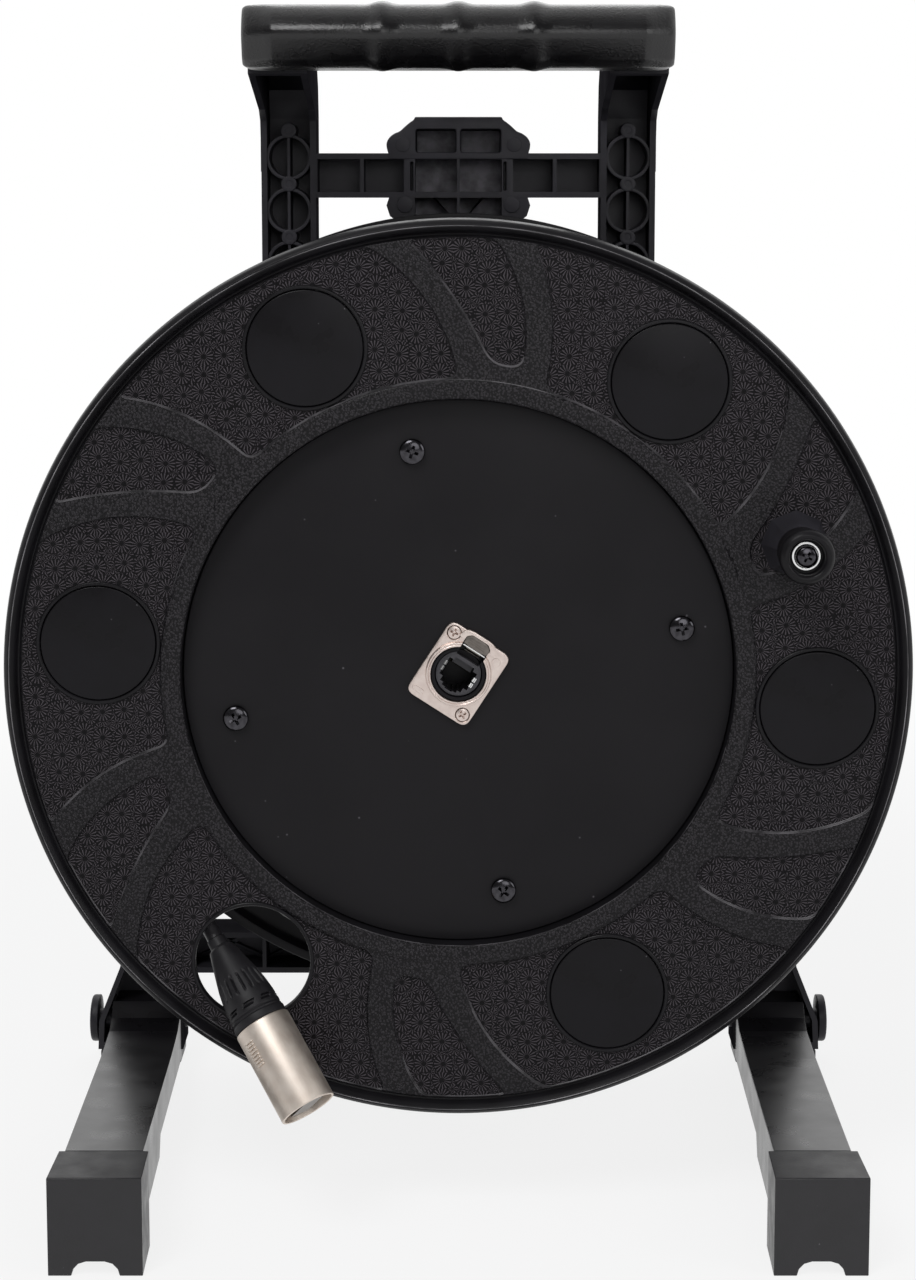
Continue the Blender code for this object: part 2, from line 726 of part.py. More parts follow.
def rear_flange_profile():
    rim_inner = FLANGE_RADIUS - RIM_WIDTH
    spigot_outer = BARREL_INNER - CLEARANCE
    spigot_inner = spigot_outer - SEAT_WALL
    return [
        (HUB_BORE, HUB_FRONT_Y),
        (HUB_OUTER, HUB_FRONT_Y),
        (HUB_OUTER, REAR_WEB_FRONT_Y),
        (spigot_inner, REAR_WEB_FRONT_Y),
        (spigot_inner, REAR_WEB_FRONT_Y - SPIGOT_LENGTH),
        (spigot_outer, REAR_WEB_FRONT_Y - SPIGOT_LENGTH),
        (spigot_outer, REAR_WEB_FRONT_Y),
        (rim_inner, REAR_WEB_FRONT_Y),
        (rim_inner, RIM_SPACING),
        (FLANGE_RADIUS, RIM_SPACING),
        (FLANGE_RADIUS, RIM_BACK_Y - RIM_SHOULDER),
        (CREST_RADIUS, RIM_BACK_Y),
        (GROOVE_RADIUS, RIM_BACK_Y - GROOVE_Y),
        (FIELD_RADIUS, REAR_WEB_BACK_Y),
        (HUB_BORE, REAR_WEB_BACK_Y),
    ]


def sweep(radius):
    share = (radius - POCKET_INNER) / (POCKET_OUTER - POCKET_INNER)
    return SWEEP_DEG * max(share, 0.0) ** SWEEP_POWER


def pocket_outline(hole_deg, start, end, inner, steps=4):
    """One pocket between two swept sides, its inner corners cut back."""
    corner = math.degrees(POCKET_CORNER / inner)
    outline = []
    for step in range(1, steps + 1):
        radius = inner + (POCKET_OUTER - inner) * step / steps
        outline.append(polar(radius, hole_deg + start + sweep(radius)))
    arcs = 4 if end - start > 20 else 2
    for step in range(1, arcs):
        degrees = start + (end - start) * step / arcs
        outline.append(polar(POCKET_OUTER, hole_deg + degrees + sweep(POCKET_OUTER)))
    for step in range(steps, 0, -1):
        radius = inner + (POCKET_OUTER - inner) * step / steps
        outline.append(polar(radius, hole_deg + end + sweep(radius)))
    for share in (1.0, 0.5, 0.0):
        degrees = start + corner + (end - start - 2 * corner) * share
        outline.append(polar(inner, hole_deg + degrees + sweep(inner)))
    return outline


def hole_degrees():
    return [FIRST_HOLE_DEG + 360 / HOLE_COUNT * step for step in range(HOLE_COUNT)]


def hole_start(degrees):
    return math.radians(degrees) + math.pi / HOLE_SEGMENTS


def screw_places(circle_radius, first, count):
    return [polar(circle_radius, first + 360 / count * step) for step in range(count)]


def knob_seat_outline(steps=6):
    """The long seat of the knob's base, with round ends, on the line from the axle."""
    inward = math.radians(KNOB_DEG)
    radius = BASE_WIDE + KNOB_SEAT_MARGIN
    outline = []
    for side, start in ((-1, math.pi / 2), (1, -math.pi / 2)):
        for step in range(steps + 1):
            angle = start + math.pi * step / steps
            along = side * KNOB_SEAT_SHIFT + radius * math.cos(angle)
            across = radius * math.sin(angle)
            x = KNOB_X + along * math.cos(inward) - across * math.sin(inward)
            z = KNOB_Z + along * math.sin(inward) + across * math.cos(inward)
            outline.append((x, z))
    return outline


def make_front_flange(look, parent):
    mesh = turned_mesh("front_flange", front_flange_profile())
    floor = FIELD_Y + POCKET_DEPTH
    pockets, holes = [], []
    for degrees in hole_degrees():
        for start, end, inner in ((WIDE_FROM, WIDE_TO, WIDE_INNER), (NARROW_FROM, NARROW_TO, NARROW_INNER)):
            outline = pocket_outline(degrees, start, end, inner)
            pockets.append(plate_mesh("pocket", outline, -OVERSHOOT, floor))
        outline = circle(*polar(HOLE_CIRCLE, degrees), HOLE_RADIUS, HOLE_SEGMENTS, hole_start(degrees))
        holes.append(plate_mesh("hole", outline, -OVERSHOOT, WEB_BACK_Y + OVERSHOOT))
    mesh = cut(mesh, joined_mesh("pockets", pockets), joined_mesh("holes", holes))
    mesh = cut(mesh, plate_mesh("knob_seat", knob_seat_outline(), -OVERSHOOT, FIELD_Y + KNOB_SEAT_DEPTH))
    bores = [bore_mesh(KNOB_SCREW_RADIUS, -OVERSHOOT, SEAT_BACK_Y, KNOB_X, KNOB_Z)]
    for x, z in screw_places(PANEL_SCREW_CIRCLE, PANEL_SCREW_DEG, PANEL_SCREW_COUNT):
        bores.append(bore_mesh(SCREW_SHANK, SEAT_Y - OVERSHOOT, SEAT_BACK_Y + OVERSHOOT, x, z))
    for x, z in screw_places(TIE_CIRCLE, TIE_DEG, TIE_COUNT):
        bores.append(bore_mesh(TIE_RADIUS, SEAT_Y - OVERSHOOT, SEAT_BACK_Y + OVERSHOOT, x, z))
    mesh = cut(mesh, joined_mesh("bores", bores))
    return smooth(node("front_flange", mesh, look, parent))


def make_rear_flange(look, parent):
    mesh = turned_mesh("rear_flange", rear_flange_profile())
    bores = []
    for x, z in screw_places(TIE_CIRCLE, TIE_DEG, TIE_COUNT):
        bores.append(bore_mesh(TIE_RADIUS, REAR_WEB_FRONT_Y - OVERSHOOT, REAR_WEB_BACK_Y + OVERSHOOT, x, z))
    mesh = cut(mesh, joined_mesh("bores", bores))
    return smooth(node("rear_flange", mesh, look, parent))


def make_barrel(look, parent):
    front = SEAT_BACK_Y + CLEARANCE
    back = REAR_WEB_FRONT_Y - CLEARANCE
    profile = [
        (BARREL_OUTER, front),
        (BARREL_OUTER, back),
        (BARREL_INNER, back),
        (BARREL_INNER, front),
    ]
    mesh = turned_mesh("barrel", profile)
    start = BARREL_INNER - BARREL_WALL
    end = BARREL_OUTER + BARREL_WALL
    reach = rod_mesh("lead_hole", CABLE_RADIUS + LEAD_HOLE_ROOM, start, end, BORE_SEGMENTS)
    spin = Matrix.Rotation(math.radians(90 - LEAD_HOLE_DEG), 4, "Y")
    reach.transform(Matrix.Translation((0, LEAD_HOLE_Y, 0)) @ spin @ Matrix.Rotation(math.pi / 2, 4, "X"))
    mesh = cut(mesh, reach)
    return smooth(node("barrel", mesh, look, parent))


def make_hole_plugs(look, parent):
    radius = HOLE_RADIUS - CLEARANCE
    inner = radius - PLUG_WALL
    face_y = FIELD_Y - PLUG_PROUD
    bead_y = WEB_BACK_Y + CLEARANCE
    back_y = WEB_BACK_Y + PLUG_SNAP
    profile = [
        (0, face_y),
        (radius, face_y),
        (radius, bead_y),
        (HOLE_RADIUS + PLUG_BEAD, bead_y + PLUG_BEAD_SLOPE),
        (radius - PLUG_TAPER, back_y),
        (inner, back_y),
        (inner, face_y + PLUG_WALL),
        (0, face_y + PLUG_WALL),
    ]
    mesh = turned_mesh("hole_plug", profile, HOLE_SEGMENTS)
    number = 0
    for index, degrees in enumerate(hole_degrees()):
        if index == OPEN_HOLE:
            continue
        number += 1
        x, z = polar(HOLE_CIRCLE, degrees)
        plug = node(f"hole_plug_{number}", mesh.copy(), look, parent, (x, 0, z), (0, -hole_start(degrees), 0))
        smooth(plug)


def cross_cutter(front, depth, size, width):
    """A cross recess. One bar runs a step further each way, so that no two faces coincide."""
    bar = box_mesh("bar", (-size, front - OVERSHOOT, -width / 2), (size, front + depth, width / 2))
    low = (-width / 2, front - OVERSHOOT - STEP, -size)
    other = box_mesh("bar", low, (width / 2, front + depth - STEP, size))
    return join(bar, other)


def pan_screw_mesh(name, head_back, head, high, shank, end):
    """A pan-head screw that points along +Y, its head's back face at head_back."""
    profile = [
        (0, head_back - high),
        (head * PAN_CROWN, head_back - high),
        (head, head_back - high * PAN_SIDE),
        (head, head_back),
        (shank, head_back),
        (shank, end),
        (0, end),
    ]
    mesh = turned_mesh(name, profile, SCREW_SEGMENTS)
    return cut(mesh, cross_cutter(head_back - high, RECESS_DEEP, head * RECESS_REACH, RECESS_WIDE))


def plate_screw_places():
    return [(side * PLATE_SCREW_X, 0, -side * PLATE_SCREW_Z) for side in (-1, 1)]


def make_panel(looks, parent):
    profile = [
        (0, PANEL_Y),
        (PANEL_RADIUS, PANEL_Y),
        (PANEL_RADIUS, PANEL_Y + PANEL_THICK),
        (0, PANEL_Y + PANEL_THICK),
    ]
    mesh = turned_mesh("centre_panel", profile)
    through = (PANEL_Y - OVERSHOOT, PANEL_Y + PANEL_THICK + OVERSHOOT)
    bores = [rod_mesh("bore", HOUSING_RADIUS + 2 * CLEARANCE, *through, HOLE_SEGMENTS)]
    places = screw_places(PANEL_SCREW_CIRCLE, PANEL_SCREW_DEG, PANEL_SCREW_COUNT)
    for x, z in places:
        bores.append(bore_mesh(SCREW_SHANK, *through, x, z))
    turn = Matrix.Rotation(math.radians(SOCKET_TURN_DEG), 4, "Y")
    for place in plate_screw_places():
        spot = turn @ Vector(place)
        bores.append(bore_mesh(PLATE_SHANK, *through, spot.x, spot.z))
    low = (-LATCH_SLOT_HALF, through[0] - STEP, SOCKET_BORE / 2)
    notch = box_mesh("notch", low, (LATCH_SLOT_HALF, through[1] + STEP, LATCH_STEM_Z + CLEARANCE))
    notch.transform(turn)
    mesh = cut(mesh, joined_mesh("bores", bores), notch)
    smooth(node("centre_panel", mesh, looks["panel"], parent))
    back = PANEL_Y - CLEARANCE
    screw = pan_screw_mesh("screw", back, SCREW_HEAD, SCREW_HEAD_HIGH, SCREW_SHANK, back + SCREW_LENGTH)
    for number, (x, z) in enumerate(places, 1):
        smooth(node(f"panel_screw_{number}", screw.copy(), looks["black_screw"], parent, (x, 0, z)))


def make_tie_bolts(look, parent):
    head_front = REAR_WEB_BACK_Y + CLEARANCE
    tip = SEAT_BACK_Y - SEAT_THICK / 2
    profile = [
        (0, head_front + TIE_HEAD_HIGH),
        (TIE_RADIUS + TIE_HEAD - CLEARANCE, head_front + TIE_HEAD_HIGH),
        (TIE_RADIUS + TIE_HEAD, head_front),
        (TIE_RADIUS, head_front),
        (TIE_RADIUS, tip),
        (0, tip),
    ]
    mesh = turned_mesh("tie_bolt", profile, BORE_SEGMENTS)
    for number, (x, z) in enumerate(screw_places(TIE_CIRCLE, TIE_DEG, TIE_COUNT), 1):
        smooth(node(f"tie_bolt_{number}", mesh.copy(), look, parent, (x, 0, z)))


# Socket.
def make_socket(looks, parent):
    frame = empty("socket_axis", parent, rotation=(0, math.radians(SOCKET_TURN_DEG), 0))
    ring_front = PLATE_FRONT_Y - SOCKET_RING_PROUD
    outline = rounded_box(PLATE_WIDE, PLATE_HIGH, PLATE_CORNER)
    plate = plate_mesh("socket_plate", outline, PLATE_FRONT_Y, PLATE_Y)
    profile = [
        (0, ring_front),
        (SOCKET_RING - SOCKET_RING_CHAMFER, ring_front),
        (SOCKET_RING, ring_front + SOCKET_RING_CHAMFER),
        (SOCKET_RING, PLATE_Y - STEP),
        (0, PLATE_Y - STEP),
    ]
    plate = join(plate, turned_mesh("ring", profile, HOLE_SEGMENTS))
    slot = box_mesh(
        "slot",
        (-LATCH_SLOT_HALF, ring_front - OVERSHOOT, SOCKET_BORE / 2),
        (LATCH_SLOT_HALF, PLATE_Y + OVERSHOOT, LATCH_TOP_Z + CLEARANCE),
    )
    over = OVERSHOOT + STEP
    bore = rod_mesh("bore", SOCKET_BORE, ring_front - over, PLATE_Y + over, HOLE_SEGMENTS)
    plate = cut(plate, bore, slot)
    head_back = PLATE_FRONT_Y + PLATE_HEAD_DEEP
    profile = [
        (0, PLATE_FRONT_Y - OVERSHOOT),
        (PLATE_HEAD + CLEARANCE, PLATE_FRONT_Y - OVERSHOOT),
        (PLATE_HEAD + CLEARANCE, PLATE_FRONT_Y),
        (PLATE_SHANK + CLEARANCE, head_back),
        (PLATE_SHANK + CLEARANCE, PLATE_Y + OVERSHOOT),
        (0, PLATE_Y + OVERSHOOT),
    ]
    sinks = []
    for place in plate_screw_places():
        sink = turned_mesh("sink", profile, SCREW_SEGMENTS)
        sink.transform(Matrix.Translation(place))
        sinks.append(sink)
    plate = cut(plate, joined_mesh("sinks", sinks))
    smooth(node("socket_plate", plate, looks["nickel"], frame))

    housing_front = ring_front + HOUSING_SETBACK
    housing_back = PLATE_Y + HOUSING_LENGTH
    well = INSERT_RADIUS + CLEARANCE
    profile = [
        (0, housing_back),
        (HOUSING_RADIUS, housing_back),
        (HOUSING_RADIUS, housing_front),
        (well, housing_front),
        (well, housing_back - HOUSING_FLOOR),
        (0, housing_back - HOUSING_FLOOR),
    ]
    housing = turned_mesh("socket_housing", profile, HOLE_SEGMENTS)
    latch_front = ring_front - LATCH_PROUD
    tab_back = latch_front + LATCH_THICK
    stem_back = tab_back + LATCH_STEM_LONG
    notch = box_mesh(
        "notch",
        (-LATCH_SLOT_HALF, housing_front - OVERSHOOT, SOCKET_BORE / 2),
        (LATCH_SLOT_HALF, stem_back + LATCH_TRAVEL + CLEARANCE, LATCH_TOP_Z),
    )
    lead = bore_mesh(CABLE_RADIUS, housing_back - HOUSING_FLOOR - OVERSHOOT, housing_back + OVERSHOOT)
    housing = cut(housing, notch, lead)
    smooth(node("socket_housing", housing, looks["frame"], frame))

    insert_front = housing_front + INSERT_SETBACK
    insert_back = insert_front + JACK_DEEP + INSERT_FLOOR
    insert = rod_mesh("socket_insert", INSERT_RADIUS, insert_front, insert_back, HOLE_SEGMENTS)
    mouth = box_mesh(
        "mouth",
        (-JACK_WIDE / 2, insert_front - OVERSHOOT, -JACK_HIGH / 2),
        (JACK_WIDE / 2, insert_front + JACK_DEEP, JACK_HIGH / 2),
    )
    step = box_mesh(
        "step",
        (-JACK_STEP_WIDE / 2, insert_front - OVERSHOOT - STEP, -JACK_HIGH / 2 - JACK_STEP_HIGH),
        (JACK_STEP_WIDE / 2, insert_front + JACK_DEEP - STEP, 0),
    )
    insert = cut(insert, mouth, step)
    smooth(node("socket_insert", insert, looks["insert"], frame))

    latch = side_mesh(
        "socket_latch",
        [
            (latch_front, LATCH_LOW_Z),
            (latch_front, LATCH_TOP_Z - LATCH_CHAMFER),
            (latch_front + LATCH_CHAMFER, LATCH_TOP_Z),
            (tab_back, LATCH_TOP_Z),
            (tab_back, LATCH_STEM_Z),
            (stem_back, LATCH_STEM_Z),
            (stem_back, LATCH_LOW_Z),
        ],
        -LATCH_WIDE / 2,
        LATCH_WIDE / 2,
    )
    node("socket_latch", latch, looks["frame"], frame)

    screw_front = PLATE_FRONT_Y + PLATE_HEAD_SUNK
    profile = [
        (0, screw_front),
        (PLATE_HEAD, screw_front),
        (PLATE_SHANK, head_back),
        (PLATE_SHANK, PLATE_Y + PLATE_SCREW_LENGTH),
        (0, PLATE_Y + PLATE_SCREW_LENGTH),
    ]
    screw = turned_mesh("socket_screw", profile, SCREW_SEGMENTS)
    screw = cut(screw, cross_cutter(screw_front, PLATE_RECESS, PLATE_HEAD * RECESS_REACH, PLATE_RECESS))
    for number, place in enumerate(plate_screw_places(), 1):
        smooth(node(f"socket_screw_{number}", screw.copy(), looks["nickel"], frame, place))


# Crank knob.
def make_knob(looks, drum):
    seat_y = FIELD_Y + KNOB_SEAT_DEPTH - CLEARANCE
    top_y = seat_y - BASE_HIGH
    fixed = empty("knob_axis", drum, (KNOB_X, 0, KNOB_Z), (0, -math.radians(KNOB_DEG), 0))
    base = plate_mesh("knob_base", circle(0, 0, BASE_WIDE, 8, math.pi / 8), top_y, seat_y)
    for point in base.vertices:
        if point.co.y < (top_y + seat_y) / 2:
            point.co.x *= BASE_TOP / BASE_WIDE
            point.co.z *= BASE_TOP / BASE_WIDE
    base = cut(base, bore_mesh(KNOB_SCREW_RADIUS, top_y - OVERSHOOT, seat_y + OVERSHOOT))
    smooth(node("knob_base", base, looks["frame"], fixed), 20)

    back = top_y - CLEARANCE
    grip_back = back - CLEARANCE
    front = back - KNOB_LENGTH
    sleeve_inner = KNOB_SCREW_RADIUS + CLEARANCE
    sleeve_outer = sleeve_inner + SLEEVE_WALL
    bore = sleeve_outer + CLEARANCE
    floor = front + KNOB_WELL_DEEP
    profile = [
        (bore, grip_back),
        (BASE_TOP, grip_back),
        (KNOB_WAIST, grip_back - KNOB_FOOT),
        (KNOB_WAIST, front + KNOB_NECK),
        (KNOB_RADIUS, front + KNOB_LIP),
        (KNOB_RADIUS, front + KNOB_CROWN),
        (KNOB_RADIUS - KNOB_ROUND / 2, front + KNOB_EDGE),
        (KNOB_RADIUS - KNOB_ROUND, front),
        (KNOB_WELL + KNOB_WELL_EDGE, front + KNOB_EDGE),
        (KNOB_WELL, front + KNOB_ROUND),
        (KNOB_WELL, floor),
        (bore, floor),
    ]
    smooth(node("knob_grip", turned_mesh("knob_grip", profile, SMALL_SEGMENTS), looks["grip"], fixed))

    profile = [
        (sleeve_inner, floor),
        (sleeve_outer, floor),
        (sleeve_outer, back),
        (sleeve_inner, back),
    ]
    smooth(node("knob_sleeve", turned_mesh("knob_sleeve", profile, SCREW_SEGMENTS), looks["steel"], fixed))

    washer_back = floor - CLEARANCE
    washer_front = washer_back - KNOB_WASHER_THICK
    washer_outer = KNOB_WELL - KNOB_WASHER_GAP
    profile = [
        (sleeve_inner, washer_front),
        (washer_outer, washer_front),
        (washer_outer, washer_back),
        (sleeve_inner, washer_back),
    ]
    smooth(node("knob_washer", turned_mesh("knob_washer", profile, SMALL_SEGMENTS), looks["steel"], fixed))

    nut_front = WEB_BACK_Y + CLEARANCE
    nut_back = nut_front + KNOB_NUT_THICK
    head = KNOB_SCREW_RADIUS + KNOB_HEAD
    end = nut_back + KNOB_SCREW_TIP
    head_back = washer_front - CLEARANCE
    screw = pan_screw_mesh("knob_screw", head_back, head, KNOB_HEAD_HIGH, KNOB_SCREW_RADIUS, end)
    smooth(node("knob_screw", screw, looks["black_screw"], fixed))

    nut = plate_mesh("knob_nut", circle(0, 0, KNOB_SCREW_RADIUS + KNOB_NUT, 6), nut_front, nut_back)
    nut = cut(nut, bore_mesh(KNOB_SCREW_RADIUS, nut_front - OVERSHOOT, nut_back + OVERSHOOT))
    node("knob_nut", nut, looks["steel"], fixed)


# Cable.
def curve_tube(name, points, radius, resolution, look, parent):
    data = bpy.data.curves.new(name, "CURVE")
    data.dimensions = "3D"
    data.bevel_depth = radius
    data.bevel_resolution = resolution
    data.use_fill_caps = True
    spline = data.splines.new("POLY")
    spline.points.add(len(points) - 1)
    for spot, point in zip(spline.points, points):
        spot.co = (*point, 1.0)
    made = bpy.data.objects.new(name, data)
    bpy.context.scene.collection.objects.link(made)
    made.parent = parent
    data.materials.append(look)
    return made


def winding_point(turns):
    """A point of the winding, counted in turns back from its front end."""
    degrees = WINDING_END_DEG - 360 * turns
    x, z = polar(WINDING_RADIUS, degrees)
    return Vector((x, WINDING_FIRST_Y + CABLE_PITCH * turns, z))


def end_tangent():
    return Vector((-math.sin(math.radians(WINDING_END_DEG)), 0, math.cos(math.radians(WINDING_END_DEG))))


def make_winding(looks, parent):
    front = WEB_BACK_Y + CLEARANCE
    back = REAR_WEB_FRONT_Y - CLEARANCE
    profile = [(CORE_OUTER, front), (CORE_OUTER, back), (CORE_INNER, back), (CORE_INNER, front)]
    smooth(node("cable_core", turned_mesh("cable_core", profile), looks["cable"], parent))

    steps = CABLE_LOOPS * POINTS_PER_LOOP
    points = [winding_point(step / POINTS_PER_LOOP) for step in range(steps + 1)]
    tangent = end_tangent()
    points.insert(0, points[0] + tangent * WINDING_END_RUN)
    last = points[-1]
    outward = last - points[-2]
    outward.y = 0
    points.append(last + outward.normalized() * WINDING_END_RUN)
    curve_tube("cable_winding", points, CABLE_RADIUS, 1, looks["cable"], parent)
    gap = least_gap(points, POINTS_PER_LOOP // 2) - 2 * CABLE_RADIUS
    print(f"cable_winding: least gap to itself {gap * 1000:.2f} mm")


def least_gap(points, skip):
    least = 1.0
    for here, point in enumerate(points):
        for other in points[here + skip:]:
            least = min(least, (point - other).length)
    return least


def routed(start, start_way, start_pull, end, end_way, end_pull, count):
    """A smooth route from start to end, with both ends straight and square to their faces."""
    near = start + start_way * SQUARE_END
    far = end - end_way * SQUARE_END
    points = [start]
    for step in range(count + 1):
        share = step / count
        rest = 1 - share
        points.append(
            near * rest**3
            + (near + start_way * start_pull) * 3 * rest**2 * share
            + (far - end_way * end_pull) * 3 * rest * share**2
            + far * share**3
        )
    return points + [end]


def make_tail(looks, parent):
    tangent = end_tangent()
    start = winding_point(0) + tangent * (WINDING_END_RUN + CLEARANCE)
    end = PLUG_NECK - PLUG_AXIS * CLEARANCE
    points = routed(start, tangent, TAIL_START_PULL, end, PLUG_AXIS, TAIL_END_PULL, TAIL_POINTS)
    curve_tube("cable_tail", points, CABLE_RADIUS, 2, looks["cable"], parent)
    length = sum((b - a).length for a, b in zip(points, points[1:]))
    print(f"cable_tail: length {length * 1000:.1f} mm")


def make_plug(looks, drum):
    axis = empty("plug_axis", drum, PLUG_NECK)
    axis.rotation_mode = "QUATERNION"
    axis.rotation_quaternion = Vector((0, 1, 0)).rotation_difference(PLUG_AXIS)
    profile = [(0, 0)]
    for along, swell in BOOT_SHAPE:
        radius = between(CABLE_RADIUS + BOOT_NECK_WALL, BOOT_RADIUS, swell)
        profile.append((radius, BOOT_LENGTH * along))
    profile.append((0, BOOT_LENGTH))
    smooth(node("plug_boot", turned_mesh("plug_boot", profile, HOLE_SEGMENTS), looks["frame"], axis))
    collar_to = COLLAR_FROM + COLLAR_LENGTH
    profile = [
        (0, COLLAR_FROM),
        (COLLAR_RADIUS, COLLAR_FROM),
        (COLLAR_RADIUS, collar_to),
        (0, collar_to),
    ]
    smooth(node("plug_collar", turned_mesh("plug_collar", profile, HOLE_SEGMENTS), looks["frame"], axis))
    inner = SHELL_RADIUS - SHELL_WALL
    floor = SHELL_FROM + SHELL_FLOOR
    profile = [
        (0, SHELL_FROM),
        (SHELL_RADIUS - SHELL_ROUND, SHELL_FROM),
        (SHELL_RADIUS, SHELL_FROM + SHELL_ROUND),
        (SHELL_RADIUS, PLUG_LENGTH - SHELL_LIP),
        (SHELL_RADIUS - SHELL_LIP, PLUG_LENGTH),
        (inner, PLUG_LENGTH),
        (inner, floor),
        (0, floor),
    ]
    smooth(node("plug_shell", turned_mesh("plug_shell", profile, HOLE_SEGMENTS), looks["nickel"], axis))
    insert_from = floor + CLEARANCE
    insert_to = PLUG_LENGTH - PLUG_INSERT_SETBACK
    body = rod_mesh("plug_insert", inner - 2 * CLEARANCE, insert_from, insert_to, HOLE_SEGMENTS)
    tongue = box_mesh(
        "tongue",
        (-JACK_WIDE / 2 + CLEARANCE, insert_to - PLUG_TONGUE_ROOT, -JACK_HIGH / 2 + CLEARANCE),
        (JACK_WIDE / 2 - CLEARANCE, PLUG_LENGTH - PLUG_TONGUE_SETBACK, JACK_HIGH / 2 - CLEARANCE),
    )
    smooth(node("plug_insert", join(body, tongue), looks["insert"], axis))


def make_inner_lead(looks, parent):
    back = PLATE_Y + HOUSING_LENGTH
    plug_back = back + CLEARANCE + INNER_PLUG_LENGTH
    turn = Matrix.Rotation(math.radians(SOCKET_TURN_DEG), 4, "Y")
    plug = box_mesh(
        "inner_plug",
        (-INNER_PLUG_WIDE / 2, back + CLEARANCE, -INNER_PLUG_HIGH / 2),
        (INNER_PLUG_WIDE / 2, plug_back, INNER_PLUG_HIGH / 2),
    )
    plug.transform(turn)
    node("inner_plug", plug, looks["clear"], parent)
    start = Vector((0, plug_back + CLEARANCE, 0))
    x, z = polar(BARREL_INNER, LEAD_HOLE_DEG)
    outward = Vector((x, 0, z)).normalized()
    end = outward * (BARREL_OUTER - CLEARANCE) + Vector((0, LEAD_HOLE_Y, 0))
    points = routed(start, Vector((0, 1, 0)), LEAD_BEND, end, outward, 2 * LEAD_BEND, LEAD_POINTS)
    curve_tube("inner_lead", points, CABLE_RADIUS, 2, looks["cable"], parent)


# Back frame.
def member_outline(side, inset=0.0, low=FRAME_BOTTOM_Z, high=UPRIGHT_TOP_Z):
    """The side member seen from the front, drawn in by a wall."""
    outer = [
        (SHIN_OUTER, low),
        (SHIN_OUTER - SHIN_LEAN, SHIN_TOP_Z),
        (SPLAY_OUTER + SHIN_BEND, (SHIN_TOP_Z + SPLAY_Z) / 2),
        (SPLAY_OUTER, SPLAY_Z),
        (UPRIGHT_OUTER, UPRIGHT_LOW_Z),
        (UPRIGHT_OUTER, high),
    ]
    inner = [
        (UPRIGHT_INNER, high),
        (UPRIGHT_INNER, UPRIGHT_LOW_Z),
        (SPLAY_INNER, SPLAY_Z),
        (SHIN_INNER, SHIN_TOP_Z),
        (SHIN_INNER, low),
    ]
    return [(side * (x - inset), z) for x, z in outer] + [(side * (x + inset), z) for x, z in inner]


def member_middle(z):
    """X of the member's centre line at a height, on its right side."""
    low = (SPLAY_OUTER + SPLAY_INNER) / 2
    if z >= UPRIGHT_LOW_Z:
        return UPRIGHT_MIDDLE
    return UPRIGHT_MIDDLE + (low - UPRIGHT_MIDDLE) * (UPRIGHT_LOW_Z - z) / (UPRIGHT_LOW_Z - SPLAY_Z)


def arm_back():
    """The arm's upper edge, (y, z), from the handle back to the upright."""
    bends = [(FRAME_BACK_Y - back, ARM_TOP_Z - drop) for back, drop in ARM_BACK_BENDS]
    return [(ARM_END_Y, ARM_TOP_Z)] + bends


def arm_outline():
    """The arm from the side, (y, z), from the upright's top to the handle."""
    front = [(FRAME_FRONT_Y - ahead, UPRIGHT_TOP_Z + rise) for ahead, rise in ARM_FRONT_BENDS]
    return [
        (FRAME_FRONT_Y + STEP, ARM_OVERLAP_Z),
        (FRAME_FRONT_Y + STEP, UPRIGHT_TOP_Z - ARM_ROOT),
        *front,
        (ARM_END_Y, ARM_LOW_Z),
        *[(y + STEP * (z < ARM_TOP_Z), z) for y, z in arm_back()],
        (FRAME_BACK_Y + STEP, ARM_OVERLAP_Z),
    ]


def arm_hollow():
    """What is cut from the arm, which leaves its back, its end wall and its sides."""
    edge = offset_path(arm_back(), -FRAME_WEB)
    floor = FRAME_BACK_Y - FRAME_WEB
    open_y = FRAME_FRONT_Y - 2 * OVERSHOOT
    low = ARM_OVERLAP_Z - 2 * OVERSHOOT
    return [
        (open_y, low),
        (open_y, UPRIGHT_TOP_Z),
        (FRAME_FRONT_Y - ARM_MOUTH, UPRIGHT_TOP_Z),
        (ARM_END_Y + FRAME_WEB, ARM_LOW_Z - ARM_MOUTH_DROP),
        (ARM_END_Y + FRAME_WEB, edge[0][1]),
        *edge[1:-1],
        (floor, edge[-1][1]),
        (floor, low),
    ]


def box_cell(left, right, low, high):
    front = FRAME_FRONT_Y - 2 * OVERSHOOT
    return box_mesh("cell", (left, front, low), (right, FRAME_BACK_Y - FRAME_WEB, high))


def frame_cells(side):
    """Cells of the crossbars on one side of the spine."""
    cells = []
    edges = [SPINE_HALF + RIB_THICK, 2 * SPINE_HALF - RIB_THICK, UPRIGHT_INNER]
    for near, far in zip(edges, edges[1:]):
        low, high = sorted((side * (near + RIB_THICK), side * (far - RIB_THICK / 2)))
        cells.append(box_cell(low, high, CROSSBAR_LOW_Z + FRAME_WALL, CROSSBAR_TOP_Z - FRAME_WALL))
    inner = member_middle(LOWER_BAR_TOP_Z) - (SPLAY_OUTER - SPLAY_INNER) / 2
    width = (inner - SPINE_HALF) / LOWER_BAR_CELLS
    for step in range(LOWER_BAR_CELLS):
        near = SPINE_HALF + width * step + RIB_THICK
        far = SPINE_HALF + width * (step + 1) - RIB_THICK / 2
        low, high = sorted((side * near, side * far))
        cells.append(box_cell(low, high, LOWER_BAR_LOW_Z + FRAME_WALL, LOWER_BAR_TOP_Z - FRAME_WALL))
    return cells


def brake_plate_low():
    return BRAKE_Z - BRAKE_SHOE_RADIUS - BRAKE_PLATE_MARGIN


